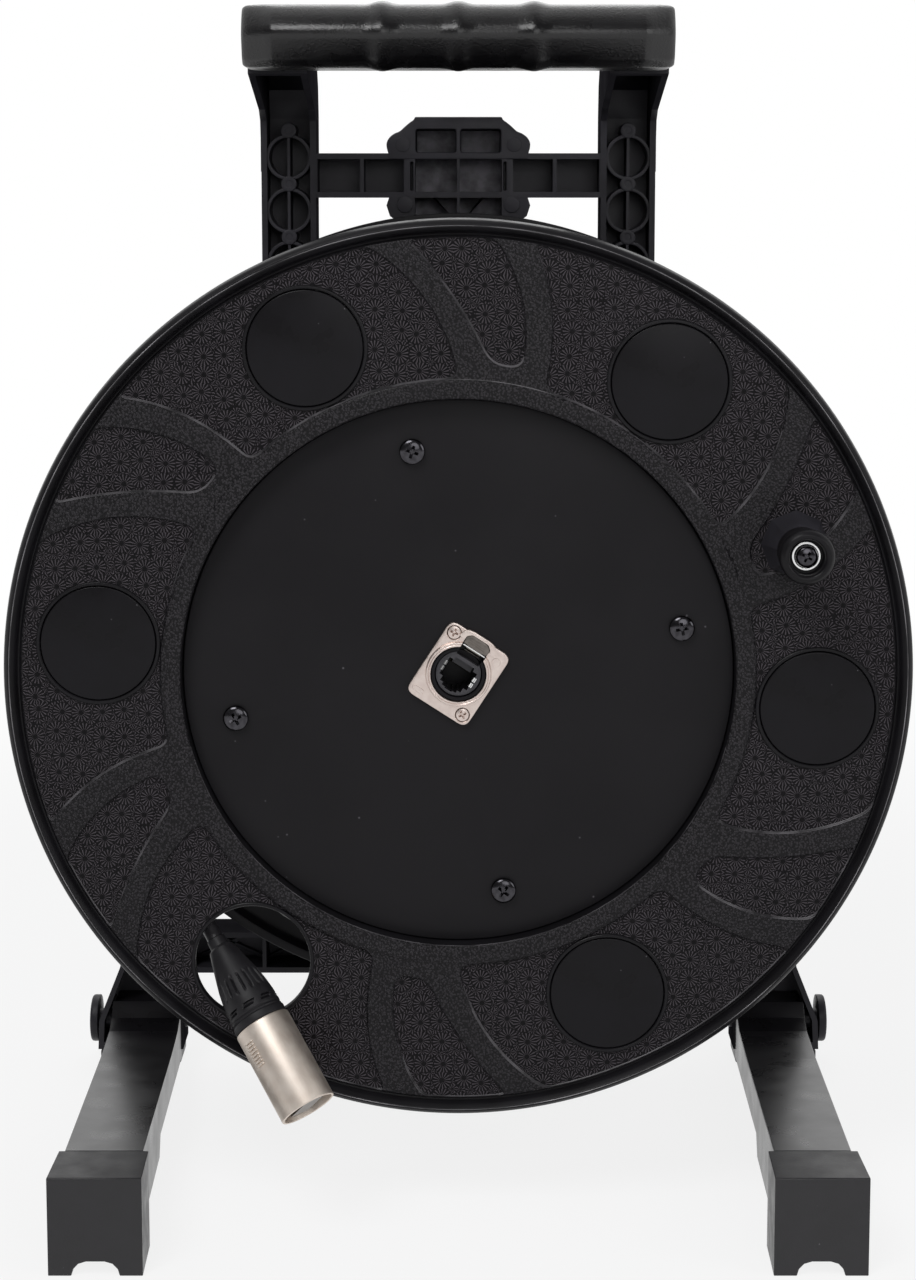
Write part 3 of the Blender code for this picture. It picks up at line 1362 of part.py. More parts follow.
def spine_cells():
    half = RIB_THICK / 2
    cells = []
    for side in (-1, 1):
        low, high = sorted((side * half, side * (SPINE_HALF - FRAME_WALL)))
        cells.append(box_cell(low, high, BOX_RIB_Z + half, SPINE_TOP_Z - FRAME_WALL))
        cells.append(box_cell(low, high, CROSSBAR_LOW_Z + FRAME_WALL, BOX_RIB_Z - half))
        cells.append(box_cell(low, high, HUB_PLATE_RADIUS + HUB_PLATE_EDGE, CROSSBAR_LOW_Z))
        cells.append(box_cell(low, high, LOWER_BAR_LOW_Z + FRAME_WALL, brake_plate_low()))
    return cells


def member_ribs(side):
    """Middle rib, rings and bosses inside a side member. Each starts a step behind the next."""
    front = FRAME_FRONT_Y + RIB_SETBACK
    back = FRAME_BACK_Y - FRAME_WEB / 2
    half = RIB_THICK / 2
    radius = UPRIGHT_WIDTH / 2 - FRAME_WALL + half
    ribs = []
    for index in range(RING_COUNT + 1):
        z = FIRST_BOSS_Z - RING_PITCH * index
        ribs.append(rod_mesh("boss", BOSS_RADIUS, front, back, BORE_SEGMENTS, side * member_middle(z), z))
        if index == RING_COUNT:
            break
        middle = z - RING_PITCH / 2
        profile = [
            (radius, front + 4 * STEP),
            (radius, back - 2 * STEP),
            (radius - RIB_THICK, back - 2 * STEP),
            (radius - RIB_THICK, front + 4 * STEP),
        ]
        ring = turned_mesh("ring", profile, RING_SEGMENTS)
        ring.transform(Matrix.Translation((side * member_middle(middle), 0, middle)))
        ribs.append(ring)
    knee = [(member_middle(z), z) for z in (FIRST_BOSS_Z, UPRIGHT_LOW_Z, LEG_CELL_Z)]
    outline = [(side * (x - half), z) for x, z in knee] + [(side * (x + half), z) for x, z in reversed(knee)]
    ribs.append(plate_mesh("rib", outline, front + 2 * STEP, back + STEP))
    for step in range(CROSS_RIBS):
        share = step / (CROSS_RIBS - 1)
        z = between(UPRIGHT_LOW_Z, LEG_CELL_Z, share)
        reach = UPRIGHT_WIDTH / 2 - FRAME_WALL / 2 + CROSS_RIB_SPREAD * share
        near, far = sorted((side * (member_middle(z) - reach), side * (member_middle(z) + reach)))
        ribs.append(box_mesh("rib", (near, front + 6 * STEP, z - half), (far, back + 3 * STEP, z + half)))
    return ribs


def leg_bolt_bore(side):
    """A bore along X through the shin, for the leg's cross bolt."""
    near, far = sorted((side * (SHIN_INNER - FRAME_WALL), side * (SHIN_OUTER + FRAME_WALL)))
    outline = circle(LEG_BOLT_Y, LEG_BOLT_Z, bore_radius(LEG_BOLT_RADIUS), BORE_SEGMENTS)
    return side_mesh("bolt", outline, near, far)


def make_frame(looks, parent):
    front, back = FRAME_FRONT_Y, FRAME_BACK_Y
    low = (-SPINE_HALF, front + STEP, LOWER_BAR_LOW_Z)
    mesh = box_mesh("frame", low, (SPINE_HALF, back - STEP, SPINE_TOP_Z))
    for side in (-1, 1):
        mesh = join(mesh, plate_mesh("member", member_outline(side), front, back))
        near, far = sorted((side * (UPRIGHT_INNER - 2 * STEP), side * (UPRIGHT_OUTER + 2 * STEP)))
        mesh = join(mesh, side_mesh("arm", arm_outline(), near, far))
    for reach, low, high in (
        (UPRIGHT_INNER + FRAME_WALL / 2, CROSSBAR_LOW_Z, CROSSBAR_TOP_Z),
        (member_middle(LOWER_BAR_LOW_Z), LOWER_BAR_LOW_Z, LOWER_BAR_TOP_Z),
    ):
        mesh = join(mesh, box_mesh("bar", (-reach, front + 3 * STEP, low), (reach, back - 3 * STEP, high)))
    hub = rod_mesh("hub", HUB_PLATE_RADIUS, front - 2 * STEP, back + HUB_PLATE_PROUD, HOLE_SEGMENTS)
    half = SPINE_HALF - 2 * STEP
    plate_back = back + BRAKE_PLATE_PROUD
    brake_plate = box_mesh("brake_plate", (-half, front - STEP, brake_plate_low()), (half, plate_back, 0))
    mesh = join(mesh, hub, brake_plate)
    for side in (-1, 1):
        for z in (CROSSBAR_TOP_Z + EAR_RISE, CROSSBAR_LOW_Z - EAR_DROP):
            x = side * (SPINE_HALF + EAR_OUT)
            ear = rod_mesh("ear", EAR_RADIUS, front + 5 * STEP, back - 5 * STEP, SCREW_SEGMENTS, x, z)
            mesh = join(mesh, ear)
    hollows = spine_cells()
    for side in (-1, 1):
        top = UPRIGHT_TOP_Z + FRAME_WALL
        outline = member_outline(side, FRAME_WALL, FRAME_BOTTOM_Z + FRAME_WEB, top)
        hollows.append(plate_mesh("hollow", outline, front - 2 * OVERSHOOT, back - FRAME_WEB))
        hollows += frame_cells(side)
    mesh = cut(mesh, joined_mesh("hollows", hollows))
    for side in (-1, 1):
        near, far = sorted((side * (UPRIGHT_INNER + FRAME_WALL), side * (UPRIGHT_OUTER - FRAME_WALL)))
        mesh = cut(mesh, side_mesh("hollow", arm_hollow(), near, far))
    for side in (-1, 1):
        mesh = join(mesh, *member_ribs(side))
    start, end = front - 2 * OVERSHOOT, back + HUB_PLATE_PROUD + OVERSHOOT
    bores = [
        bore_mesh(AXLE_RADIUS, start, end, 0, 0, SMALL_SEGMENTS),
        bore_mesh(BRAKE_ROD_RADIUS, start, end, 0, BRAKE_Z),
    ]
    mesh = cut(mesh, joined_mesh("bores", bores))
    start, end = ARM_END_Y - OVERSHOOT, ARM_END_Y + FRAME_WEB + OVERSHOOT
    for side in (-1, 1):
        screw = bore_mesh(SCREW_SHANK, start, end, side * UPRIGHT_MIDDLE, HANDLE_SCREW_Z)
        mesh = cut(mesh, leg_bolt_bore(side), screw)
    return smooth(node("back_frame", mesh, looks["frame"], parent), 25)


# Handle.
def grip_section():
    """The grip's section, (y, z), with its front ridge first."""
    front, back, low, top = GRIP_FRONT_Y, GRIP_BACK_Y, GRIP_LOW_Z, GRIP_TOP_Z
    return [
        *[(front + behind, top - drop) for behind, drop in GRIP_FRONT_CORNERS],
        *[(back - ahead, top - drop) for ahead, drop in GRIP_BACK_CORNERS],
        *[(back - ahead, low + rise) for ahead, rise in GRIP_UNDER_BACK],
        *[(front + behind, low + rise) for behind, rise in GRIP_UNDER_FRONT],
    ]


def make_handle(looks, parent):
    section = grip_section()
    middle_y = (GRIP_FRONT_Y + GRIP_BACK_Y) / 2
    middle_z = (GRIP_LOW_Z + GRIP_TOP_Z) / 2
    ends = [(UPRIGHT_OUTER - inset, share) for inset, share in GRIP_ENDS]
    swell = []
    for step in range(GRIP_RIDGES):
        centre = (step - (GRIP_RIDGES - 1) / 2) * GRIP_RIDGE_PITCH
        for offset, lift in ((-1, 0), (0, GRIP_RIDGE_HIGH), (1, 0)):
            swell.append((centre + offset * GRIP_RIDGE_HALF, 1 + lift / (GRIP_TOP_Z - middle_z)))
    places = [(-x, share) for x, share in ends] + swell + [(x, share) for x, share in reversed(ends)]
    points, faces = [], []
    count = len(section)
    for x, share in places:
        for y, z in section:
            reach = (y - middle_y) * share
            if share < 1 and y > middle_y:
                reach = y - middle_y
            points.append((x, middle_y + reach, middle_z + (z - middle_z) * share))
    for ring in range(len(places) - 1):
        here, there = ring * count, (ring + 1) * count
        for step in range(count):
            after = (step + 1) % count
            faces.append((here + step, here + after, there + after, there + step))
    faces.append(tuple(range(count)))
    last = (len(places) - 1) * count
    faces.append(tuple(range(last + count - 1, last - 1, -1)))
    mesh = mesh_from("handle_grip", points, faces)
    bottom = GRIP_BACK_Y - HANDLE_SCREW_LENGTH
    pilots = []
    for side in (-1, 1):
        x = side * UPRIGHT_MIDDLE
        pilots.append(bore_mesh(SCREW_SHANK, bottom - OVERSHOOT, GRIP_BACK_Y + OVERSHOOT, x, HANDLE_SCREW_Z))
    mesh = cut(mesh, joined_mesh("pilots", pilots))
    smooth(node("handle_grip", mesh, looks["grip"], parent), 40)

    head_front = ARM_END_Y + FRAME_WEB + CLEARANCE
    profile = [
        (0, head_front + SCREW_HEAD_HIGH),
        (SCREW_HEAD * PAN_CROWN, head_front + SCREW_HEAD_HIGH),
        (SCREW_HEAD, head_front),
        (SCREW_SHANK, head_front),
        (SCREW_SHANK, bottom + HANDLE_SCREW_TIP),
        (0, bottom),
    ]
    screw = turned_mesh("handle_screw", profile, SCREW_SEGMENTS)
    for number, side in enumerate((-1, 1), 1):
        place = (side * UPRIGHT_MIDDLE, 0, HANDLE_SCREW_Z)
        smooth(node(f"handle_screw_{number}", screw.copy(), looks["steel"], parent, place))


# Legs and feet.
def leg_sides(side, wall=0.0):
    """X of the leg's outer and inner face as functions of (y, z)."""
    run = FRAME_FRONT_Y - FOOT_BACK_Y

    def outer(y, z):
        return side * (between(LEG_OUTER_FRONT, LEG_OUTER_BACK, (y - FOOT_BACK_Y) / run) - wall)

    def inner(y, z):
        return side * (between(LEG_INNER_FRONT, LEG_INNER_BACK, (y - FOOT_BACK_Y) / run) + wall)

    return outer, inner


def make_leg(side, name, looks, parent):
    front = FOOT_BACK_Y + CLEARANCE
    back = FRAME_FRONT_Y - CLEARANCE
    middle = (FRAME_FRONT_Y - LEG_MID_RUN, GROUND_Z + LEG_MID_UP)
    outline = [
        (front, LEG_LOW_FRONT_Z),
        (front, FOOT_TOP_Z),
        middle,
        *[(back - ahead, LEG_TOP_BACK_Z + rise) for ahead, rise in LEG_HEEL],
        (back, LEG_LOW_BACK_Z),
        (LEG_STEP_Y + LEG_STEP_SLOPE, GROUND_Z + LEG_STEP_TOP_UP),
        (LEG_STEP_Y, GROUND_Z + LEG_STEP_LOW_UP),
    ]
    outer, inner = leg_sides(side)
    mesh = side_mesh(name, outline, outer, inner)
    under = GROUND_Z - OVERSHOOT
    hollow = [
        (front + LEG_TOP_WALL, under),
        (front + LEG_TOP_WALL, FOOT_TOP_Z - LEG_TOP_WALL),
        (middle[0], middle[1] - LEG_TOP_WALL),
        (back - LEG_TOP_WALL, LEG_TOP_BACK_Z - LEG_TOP_WALL),
        (back - LEG_TOP_WALL, under),
    ]
    hollow_outer, hollow_inner = leg_sides(side, LEG_WALL)
    mesh = cut(mesh, side_mesh("hollow", hollow, hollow_outer, hollow_inner))
    low, high = sorted((side * (LEG_INNER_FRONT + TENON_INSET), side * (LEG_OUTER_FRONT - TENON_INSET)))
    tenon = box_mesh(
        "tenon",
        (low, FOOT_BACK_Y - TENON_LENGTH, LEG_LOW_FRONT_Z + TENON_INSET),
        (high, front + OVERSHOOT, FOOT_TOP_Z - TENON_INSET),
    )
    low, high = sorted((side * (SHIN_INNER + FRAME_WALL + CLEARANCE), side * (LEG_OUTER_BACK - 4 * STEP)))
    root = box_mesh(
        "root",
        (low, back - OVERSHOOT, FRAME_BOTTOM_Z + FRAME_WEB + CLEARANCE),
        (high, FRAME_BACK_Y - FRAME_WEB - CLEARANCE, LEG_TOP_BACK_Z + LEG_HEEL[-1][1] - OVERSHOOT),
    )
    mesh = cut(join(mesh, tenon, root), leg_bolt_bore(side))
    node(name, mesh, looks["frame"], parent)


def make_leg_bolt(side, name, looks, parent):
    head = SHIN_OUTER + CLEARANCE
    face = head + LEG_BOLT_CAP_THICK
    tip = SHIN_INNER - LEG_BOLT_TIP
    profile = [
        (0, face),
        (LEG_BOLT_CAP - LEG_BOLT_CAP_ROUND, face),
        (LEG_BOLT_CAP, face - LEG_BOLT_CAP_ROUND),
        (LEG_BOLT_CAP, head),
        (LEG_BOLT_RADIUS, head),
        (LEG_BOLT_RADIUS, tip),
        (0, tip),
    ]
    mesh = turned_mesh(name, profile, SMALL_SEGMENTS)
    place = (0, LEG_BOLT_Y, LEG_BOLT_Z)
    smooth(node(name, mesh, looks["frame"], parent, place, (0, 0, -side * math.pi / 2)))


def make_feet(side, hand, looks, parent):
    outline = [
        (FOOT_FRONT_Y, GROUND_Z),
        (FOOT_FRONT_Y, FOOT_TOP_Z - FOOT_CHAMFER),
        (FOOT_FRONT_Y + FOOT_CHAMFER, FOOT_TOP_Z),
        (FOOT_BACK_Y, FOOT_TOP_Z),
        (FOOT_BACK_Y, GROUND_Z),
    ]

    def taper(y):
        return FOOT_TAPER * (y - FOOT_FRONT_Y) / FOOT_LENGTH

    mesh = side_mesh(
        "foot",
        outline,
        lambda y, z: side * (FOOT_OUTER - taper(y)),
        lambda y, z: side * (FOOT_INNER + taper(y)),
    )
    inset = TENON_INSET - CLEARANCE
    low, high = sorted((side * (LEG_INNER_FRONT + inset), side * (LEG_OUTER_FRONT - inset)))
    pocket = box_mesh(
        "pocket",
        (low, FOOT_BACK_Y - TENON_LENGTH - CLEARANCE, LEG_LOW_FRONT_Z + inset),
        (high, FOOT_BACK_Y + OVERSHOOT, FOOT_TOP_Z - inset),
    )
    middle = side * (FOOT_OUTER + FOOT_INNER) / 2
    under = GROUND_Z - OVERSHOOT
    arch = [(middle - FOOT_ARCH_HALF, under), (middle + FOOT_ARCH_HALF, under)]
    for step in range(FOOT_ARCH_STEPS + 1):
        angle = math.pi * step / FOOT_ARCH_STEPS
        rise = min(math.sin(angle) * FOOT_ARCH_SQUARE, 1) * FOOT_ARCH_HIGH
        arch.append((middle + FOOT_ARCH_HALF * math.cos(angle), GROUND_Z + rise))
    arch = plate_mesh("arch", arch, FOOT_FRONT_Y - OVERSHOOT, FOOT_BACK_Y + OVERSHOOT)
    node(f"foot_front_{hand}", cut(mesh, pocket, arch), looks["rubber"], parent)
    low, high = sorted((side * (SHIN_INNER + PAD_INSET), side * (SHIN_OUTER - PAD_INSET)))
    pad_back = FRAME_FRONT_Y + PAD_LENGTH
    pad = box_mesh("pad", (low, FRAME_FRONT_Y, GROUND_Z), (high, pad_back, FRAME_BOTTOM_Z - CLEARANCE))
    node(f"foot_rear_{hand}", pad, looks["rubber"], parent)


# Axle and brake.
def make_axle(looks, parent, drum):
    hub_back = FRAME_BACK_Y + HUB_PLATE_PROUD
    bush_front = HUB_FRONT_Y - CLEARANCE - BUSH_FLANGE_THICK
    washer_back = bush_front - CLEARANCE
    washer_front = washer_back - AXLE_WASHER_THICK
    nut_back = washer_front - CLEARANCE
    nut_front = nut_back - AXLE_NUT_THICK
    head_front = hub_back + CLEARANCE
    head_back = head_front + AXLE_HEAD_THICK
    profile = [
        (0, nut_front - AXLE_TIP),
        (AXLE_RADIUS, nut_front - AXLE_TIP),
        (AXLE_RADIUS, (head_front + head_back) / 2),
        (0, (head_front + head_back) / 2),
    ]
    shank = turned_mesh("axle_bolt", profile, SMALL_SEGMENTS)
    head_radius = AXLE_RADIUS + AXLE_HEAD
    head = plate_mesh("head", circle(0, 0, head_radius, 6), head_front, head_back)
    smooth(node("axle_bolt", join(shank, head), looks["steel"], parent), 25)
    bore = AXLE_RADIUS + CLEARANCE
    profile = [
        (bore, washer_front),
        (AXLE_RADIUS + AXLE_WASHER, washer_front),
        (AXLE_RADIUS + AXLE_WASHER, washer_back),
        (bore, washer_back),
    ]
    smooth(node("axle_washer", turned_mesh("axle_washer", profile, SMALL_SEGMENTS), looks["steel"], parent))
    nut = plate_mesh("axle_nut", circle(0, 0, head_radius, 6), nut_front, nut_back)
    nut = cut(nut, bore_mesh(AXLE_RADIUS, nut_front - OVERSHOOT, nut_back + OVERSHOOT, 0, 0, SMALL_SEGMENTS))
    node("axle_nut", nut, looks["steel"], parent)

    bush_back = REAR_WEB_BACK_Y + CLEARANCE
    for name, face, seat, end in (
        ("hub_bush_front", bush_front, HUB_FRONT_Y - CLEARANCE, HUB_FRONT_Y + BUSH_LENGTH),
        ("hub_bush_rear", bush_back + BUSH_FLANGE_THICK, bush_back, REAR_WEB_BACK_Y - BUSH_LENGTH),
    ):
        profile = [
            (bore, face),
            (HUB_FACE_OUTER, face),
            (HUB_FACE_OUTER, seat),
            (BUSH_OUTER, seat),
            (BUSH_OUTER, end),
            (bore, end),
        ]
        smooth(node(name, turned_mesh(name, profile, SMALL_SEGMENTS), looks["bush"], drum))


def make_brake(looks, parent):
    """The shoe fills the gap between drum and frame, less its travel and its clearances."""
    brake = empty("brake_axis", parent, (0, 0, BRAKE_Z))
    shoe_front = REAR_WEB_BACK_Y + BRAKE_TRAVEL + CLEARANCE
    shoe_back = FRAME_FRONT_Y - STEP - CLEARANCE
    shoe = rod_mesh("brake_shoe", BRAKE_SHOE_RADIUS, shoe_front, shoe_back, SMALL_SEGMENTS)
    node("brake_shoe", shoe, looks["rubber"], brake)
    plate_back = FRAME_BACK_Y + BRAKE_PLATE_PROUD
    rod_front = shoe_back + CLEARANCE
    rod_back = plate_back + BRAKE_ROD_GRIP
    rod = rod_mesh("brake_rod", BRAKE_ROD_RADIUS, rod_front, rod_back, BORE_SEGMENTS)
    smooth(node("brake_rod", rod, looks["steel"], brake), 50)
    outline = []
    steps = BRAKE_KNOB_LOBES * 3
    for step in range(steps):
        angle = math.tau * step / steps
        radius = BRAKE_KNOB_RADIUS - BRAKE_KNOB_WAVE * (1 - math.cos(BRAKE_KNOB_LOBES * angle))
        outline.append((radius * math.cos(angle), radius * math.sin(angle)))
    knob_front = plate_back + BRAKE_KNOB_GAP
    knob = plate_mesh("brake_knob", outline, knob_front, knob_front + BRAKE_KNOB_THICK)
    knob = cut(knob, bore_mesh(BRAKE_ROD_RADIUS, knob_front - OVERSHOOT, rod_back + CLEARANCE))
    smooth(node("brake_knob", knob, looks["frame"], brake), 30)


def main():
    clear_scene()
    looks = make_materials()
    reel = empty("reel_frame", None, (0, FRONT_RIM_Y, AXLE_HEIGHT))
    drum = empty("drum_axis", reel)
    make_front_flange(looks["flange"], drum)
    make_rear_flange(looks["flange"], drum)
    make_barrel(looks["flange"], drum)
    make_hole_plugs(looks["panel"], drum)
    make_panel(looks, drum)
    make_tie_bolts(looks["steel"], drum)
    make_socket(looks, drum)
    make_knob(looks, drum)
    make_winding(looks, drum)
    make_tail(looks, drum)
    make_plug(looks, drum)
    make_inner_lead(looks, drum)
    make_frame(looks, reel)
    make_handle(looks, reel)
    for side, hand in ((-1, "left"), (1, "right")):
        make_leg(side, f"leg_{hand}", looks, reel)
        make_leg_bolt(side, f"leg_bolt_{hand}", looks, reel)
        make_feet(side, hand, looks, reel)
    make_axle(looks, reel, drum)
    make_brake(looks, reel)


main()
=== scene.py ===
import math

import bmesh
import bpy
from mathutils import Matrix, Vector


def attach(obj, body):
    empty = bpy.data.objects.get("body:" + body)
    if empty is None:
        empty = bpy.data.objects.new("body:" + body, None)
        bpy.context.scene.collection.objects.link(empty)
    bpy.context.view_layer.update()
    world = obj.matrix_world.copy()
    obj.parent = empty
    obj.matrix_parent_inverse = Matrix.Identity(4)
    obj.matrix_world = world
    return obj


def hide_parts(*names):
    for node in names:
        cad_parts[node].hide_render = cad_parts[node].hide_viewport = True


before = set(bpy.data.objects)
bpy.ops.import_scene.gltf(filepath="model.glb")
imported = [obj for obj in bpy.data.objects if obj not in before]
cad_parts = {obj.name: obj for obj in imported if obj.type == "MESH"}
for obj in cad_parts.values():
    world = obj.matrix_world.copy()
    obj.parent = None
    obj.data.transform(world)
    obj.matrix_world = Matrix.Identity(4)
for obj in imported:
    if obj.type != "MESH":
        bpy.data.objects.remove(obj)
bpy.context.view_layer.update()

# Network cable reel. Pieces are drawn in reel coordinates: origin on the axle, Y = 0 at the front rim, metres.
reelPlace = Vector((0.0, -0.072, 0.203))
full = math.tau
print("frame loaded:", len(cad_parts), "pieces")


# Colours and nodes.
def linear(hexColour):
    parts = [int(hexColour[at:at + 2], 16) / 255 for at in (1, 3, 5)]
    return tuple(c / 12.92 if c <= 0.04045 else ((c + 0.055) / 1.055) ** 2.4 for c in parts) + (1.0,)


def addNode(tree, kind, links=None, **settings):
    # Links go by the socket's name, or by its number where sockets share a name. A plain value is set on the socket.
    made = tree.nodes.new("ShaderNode" + kind)
    for name, value in settings.items():
        setattr(made, name, value)
    for name, value in (links or {}).items():
        if isinstance(value, bpy.types.NodeSocket):
            tree.links.new(value, made.inputs[name])
        else:
            made.inputs[name].default_value = value
    return made


# What all surfaces share: how much of the noise the mottle and its gloss take, the specks of dust, and the height in
# metres that a grainDeep or reliefDeep of 1 stands for.
surface = {
    "mottleFrom": 0.36, "mottleTo": 0.64, "glossFrom": 0.3, "glossTo": 0.7, "dustColour": "#77757a",
    "speckEdge": 0.045, "speckCore": 0.02, "bumpHigh": 0.001}


def makeMaterial(name, look, pattern=None):
    # A look gives colours, gloss and the sizes in mm of the mottle, the moulded grain and the gaps between dust specks.
    made = bpy.data.materials.new(name)
    made.use_nodes = True
    tree = made.node_tree
    shader = tree.nodes["Principled BSDF"]
    place = addNode(tree, "TexCoord").outputs["Object"]
    mottle = addNode(tree, "TexNoise", {"Vector": place, "Scale": 1000 / look["mottleMm"], "Detail": 4.0}).outputs[0]
    share = addNode(tree, "MapRange", {0: mottle, 1: surface["mottleFrom"], 2: surface["mottleTo"]}).outputs[0]
    tints = {0: share, 6: linear(look["colour"]), 7: linear(look["mottle"])}
    colour = addNode(tree, "Mix", tints, data_type="RGBA").outputs[2]
    grain = addNode(tree, "TexNoise", {
        "Vector": place, "Scale": 1000 / look["grainMm"], "Detail": 2.0, "Roughness": 0.6}).outputs[0]
    height = addNode(tree, "Math", {0: grain, 1: look["grainDeep"]}, operation="MULTIPLY").outputs[0]
    if pattern:
        relief = pattern(tree, place)
        both = {0: relief, 1: look["reliefDeep"], 2: height}
        height = addNode(tree, "Math", both, operation="MULTIPLY_ADD").outputs[0]
        # Raised relief is painted lighter: a painted highlight on crowns and strokes, and painted shade in the valleys
        # between.
        raisedHighlight = {0: relief, 6: colour, 7: linear(look["raisedHighlight"])}
        colour = addNode(tree, "Mix", raisedHighlight, data_type="RGBA").outputs[2]
    if "dust" in look:
        # A few specks of dust, each under half a millimetre.
        away = addNode(tree, "TexVoronoi", {"Vector": place, "Scale": 1000 / look["dustMm"]}).outputs["Distance"]
        speck = addNode(tree, "MapRange", {
            0: away, 1: surface["speckEdge"], 2: surface["speckCore"], 3: 0.0, 4: look["dust"]}).outputs[0]
        dusty = {0: speck, 6: colour, 7: linear(surface["dustColour"])}
        colour = addNode(tree, "Mix", dusty, data_type="RGBA").outputs[2]
    tree.links.new(colour, shader.inputs["Base Color"])
    gloss = addNode(tree, "MapRange", {
        0: mottle, 1: surface["glossFrom"], 2: surface["glossTo"],
        3: look["rough"] - look["spread"], 4: look["rough"] + look["spread"]})
    tree.links.new(gloss.outputs[0], shader.inputs["Roughness"])
    bump = addNode(tree, "Bump", {"Height": height, "Distance": surface["bumpHigh"], "Strength": 1.0})
    tree.links.new(bump.outputs[0], shader.inputs["Normal"])
    shader.inputs["Metallic"].default_value = look.get("metallic", 0.0)
    if "specular" in look:
        shader.inputs["Specular IOR Level"].default_value = look["specular"]
    if "clear" in look:
        shader.inputs["Transmission Weight"].default_value = look["clear"]
        shader.inputs["IOR"].default_value = look["ior"]
    return made


# Moulded rosettes on the pocket floors: strokes standing proud round irregular centres, and small rosettes in the gaps
# between. The strokes are painted lighter, a painted highlight.
rosettes = {"spacingMm": 7.7, "scatter": 0.42, "petals": 15, "hubMm": 0.75, "reachMm": 3.55}
fillers = {"spacingMm": 2.9, "scatter": 0.6, "petals": 9, "hubMm": 0.25, "reachMm": 2.0}
# How far up its wave a petal is full, how soft its two ends are, and the free band round a rosette.
petalEdge = {"full": 0.6, "hubSoft": 1.35, "tipSoft": 0.92, "free": 1.04}


def rosetteLayer(tree, flat, sizes):
    hub, reach = sizes["hubMm"] / 1000, sizes["reachMm"] / 1000
    cells = addNode(tree, "TexVoronoi", {
        "Vector": flat, "Scale": 1000 / sizes["spacingMm"], "Randomness": sizes["scatter"]}, voronoi_dimensions="2D")
    away = addNode(tree, "VectorMath", {0: flat, 1: cells.outputs["Position"]}, operation="SUBTRACT").outputs[0]
    radius = addNode(tree, "VectorMath", {0: away}, operation="LENGTH").outputs["Value"]
    sides = addNode(tree, "SeparateXYZ", {0: away})
    angle = addNode(tree, "Math", {0: sides.outputs[1], 1: sides.outputs[0]}, operation="ARCTAN2").outputs[0]
    # Each rosette is turned by its own amount.
    turn = addNode(tree, "SeparateColor", {0: cells.outputs["Color"]}).outputs[0]
    phase = addNode(tree, "Math", {0: turn, 1: full}, operation="MULTIPLY").outputs[0]
    spin = addNode(tree, "Math", {0: angle, 1: float(sizes["petals"]), 2: phase}, operation="MULTIPLY_ADD").outputs[0]
    wave = addNode(tree, "Math", {0: spin}, operation="COSINE").outputs[0]
    crest = {0: wave, 1: 0.0, 2: petalEdge["full"]}
    petal = addNode(tree, "MapRange", crest, interpolation_type="SMOOTHSTEP").outputs[0]
    inner = addNode(tree, "MapRange", {0: radius, 1: hub, 2: petalEdge["hubSoft"] * hub}).outputs[0]
    outer = addNode(tree, "MapRange", {0: radius, 1: reach, 2: petalEdge["tipSoft"] * reach}).outputs[0]
    band = addNode(tree, "Math", {0: inner, 1: outer}, operation="MULTIPLY").outputs[0]
    outside = addNode(tree, "Math", {0: radius, 1: petalEdge["free"] * reach}, operation="GREATER_THAN").outputs[0]
    return addNode(tree, "Math", {0: petal, 1: band}, operation="MULTIPLY").outputs[0], outside


def rosetteRelief(tree, place):
    split = addNode(tree, "SeparateXYZ", {0: place})
    flat = addNode(tree, "CombineXYZ", {0: split.outputs[0], 1: split.outputs[2]}).outputs[0]
    large, outside = rosetteLayer(tree, flat, rosettes)
    small, _ = rosetteLayer(tree, flat, fillers)
    return addNode(tree, "Math", {0: small, 1: outside, 2: large}, operation="MULTIPLY_ADD").outputs[0]


leather = {"pebbleMm": 0.85, "smooth": 0.4, "valley": 0.62, "crown": 0.28}


def leatherRelief(tree, place):
    # Small round pebbles with narrow valleys between.
    cells = addNode(tree, "TexVoronoi", {
        "Vector": place, "Scale": 1000 / leather["pebbleMm"], "Smoothness": leather["smooth"]}, feature="SMOOTH_F1")
    pebble = {0: cells.outputs["Distance"], 1: leather["valley"], 2: leather["crown"]}
    return addNode(tree, "MapRange", pebble, interpolation_type="SMOOTHSTEP").outputs[0]


# The grains of the real plastics and metals are finer than the picture can show, mostly 0.05 to 0.3 mm. They are drawn
# at 0.35 to 1.5 mm, as coarse as they need to be to show.

# Flange: moulded polypropylene, fine leather grain with its crowns painted lighter as a painted highlight, a soft sheen
# and no clear reflection.
leatherPolypropylene = makeMaterial("grained_polypropylene", {
    "colour": "#121113", "mottle": "#151416", "mottleMm": 9, "rough": 0.36, "spread": 0.05, "grainMm": 0.95,
    "grainDeep": 0.2, "specular": 0.16, "reliefDeep": 0.16, "raisedHighlight": "#2f2d30", "dust": 0.5, "dustMm": 14},
    leatherRelief)
# The same plastic on the pocket floors: the tool's rosettes are 0.24 mm proud and catch the light on their sides, and
# their strokes are painted lighter too, a painted highlight.
rosettePolypropylene = makeMaterial("rosette_polypropylene", {
    "colour": "#0c0b0d", "mottle": "#100f11", "mottleMm": 12, "rough": 0.34, "spread": 0.04, "grainMm": 0.9,
    "grainDeep": 0.03, "specular": 0.1, "reliefDeep": 0.24, "raisedHighlight": "#474347"}, rosetteRelief)
# Where the tool was polished the rim is smooth and shows long soft highlights.
polishedPolypropylene = makeMaterial("polished_polypropylene", {
    "colour": "#141315", "mottle": "#18171a", "mottleMm": 18, "rough": 0.36, "spread": 0.05, "grainMm": 1.2,
    "grainDeep": 0.006, "specular": 0.16})
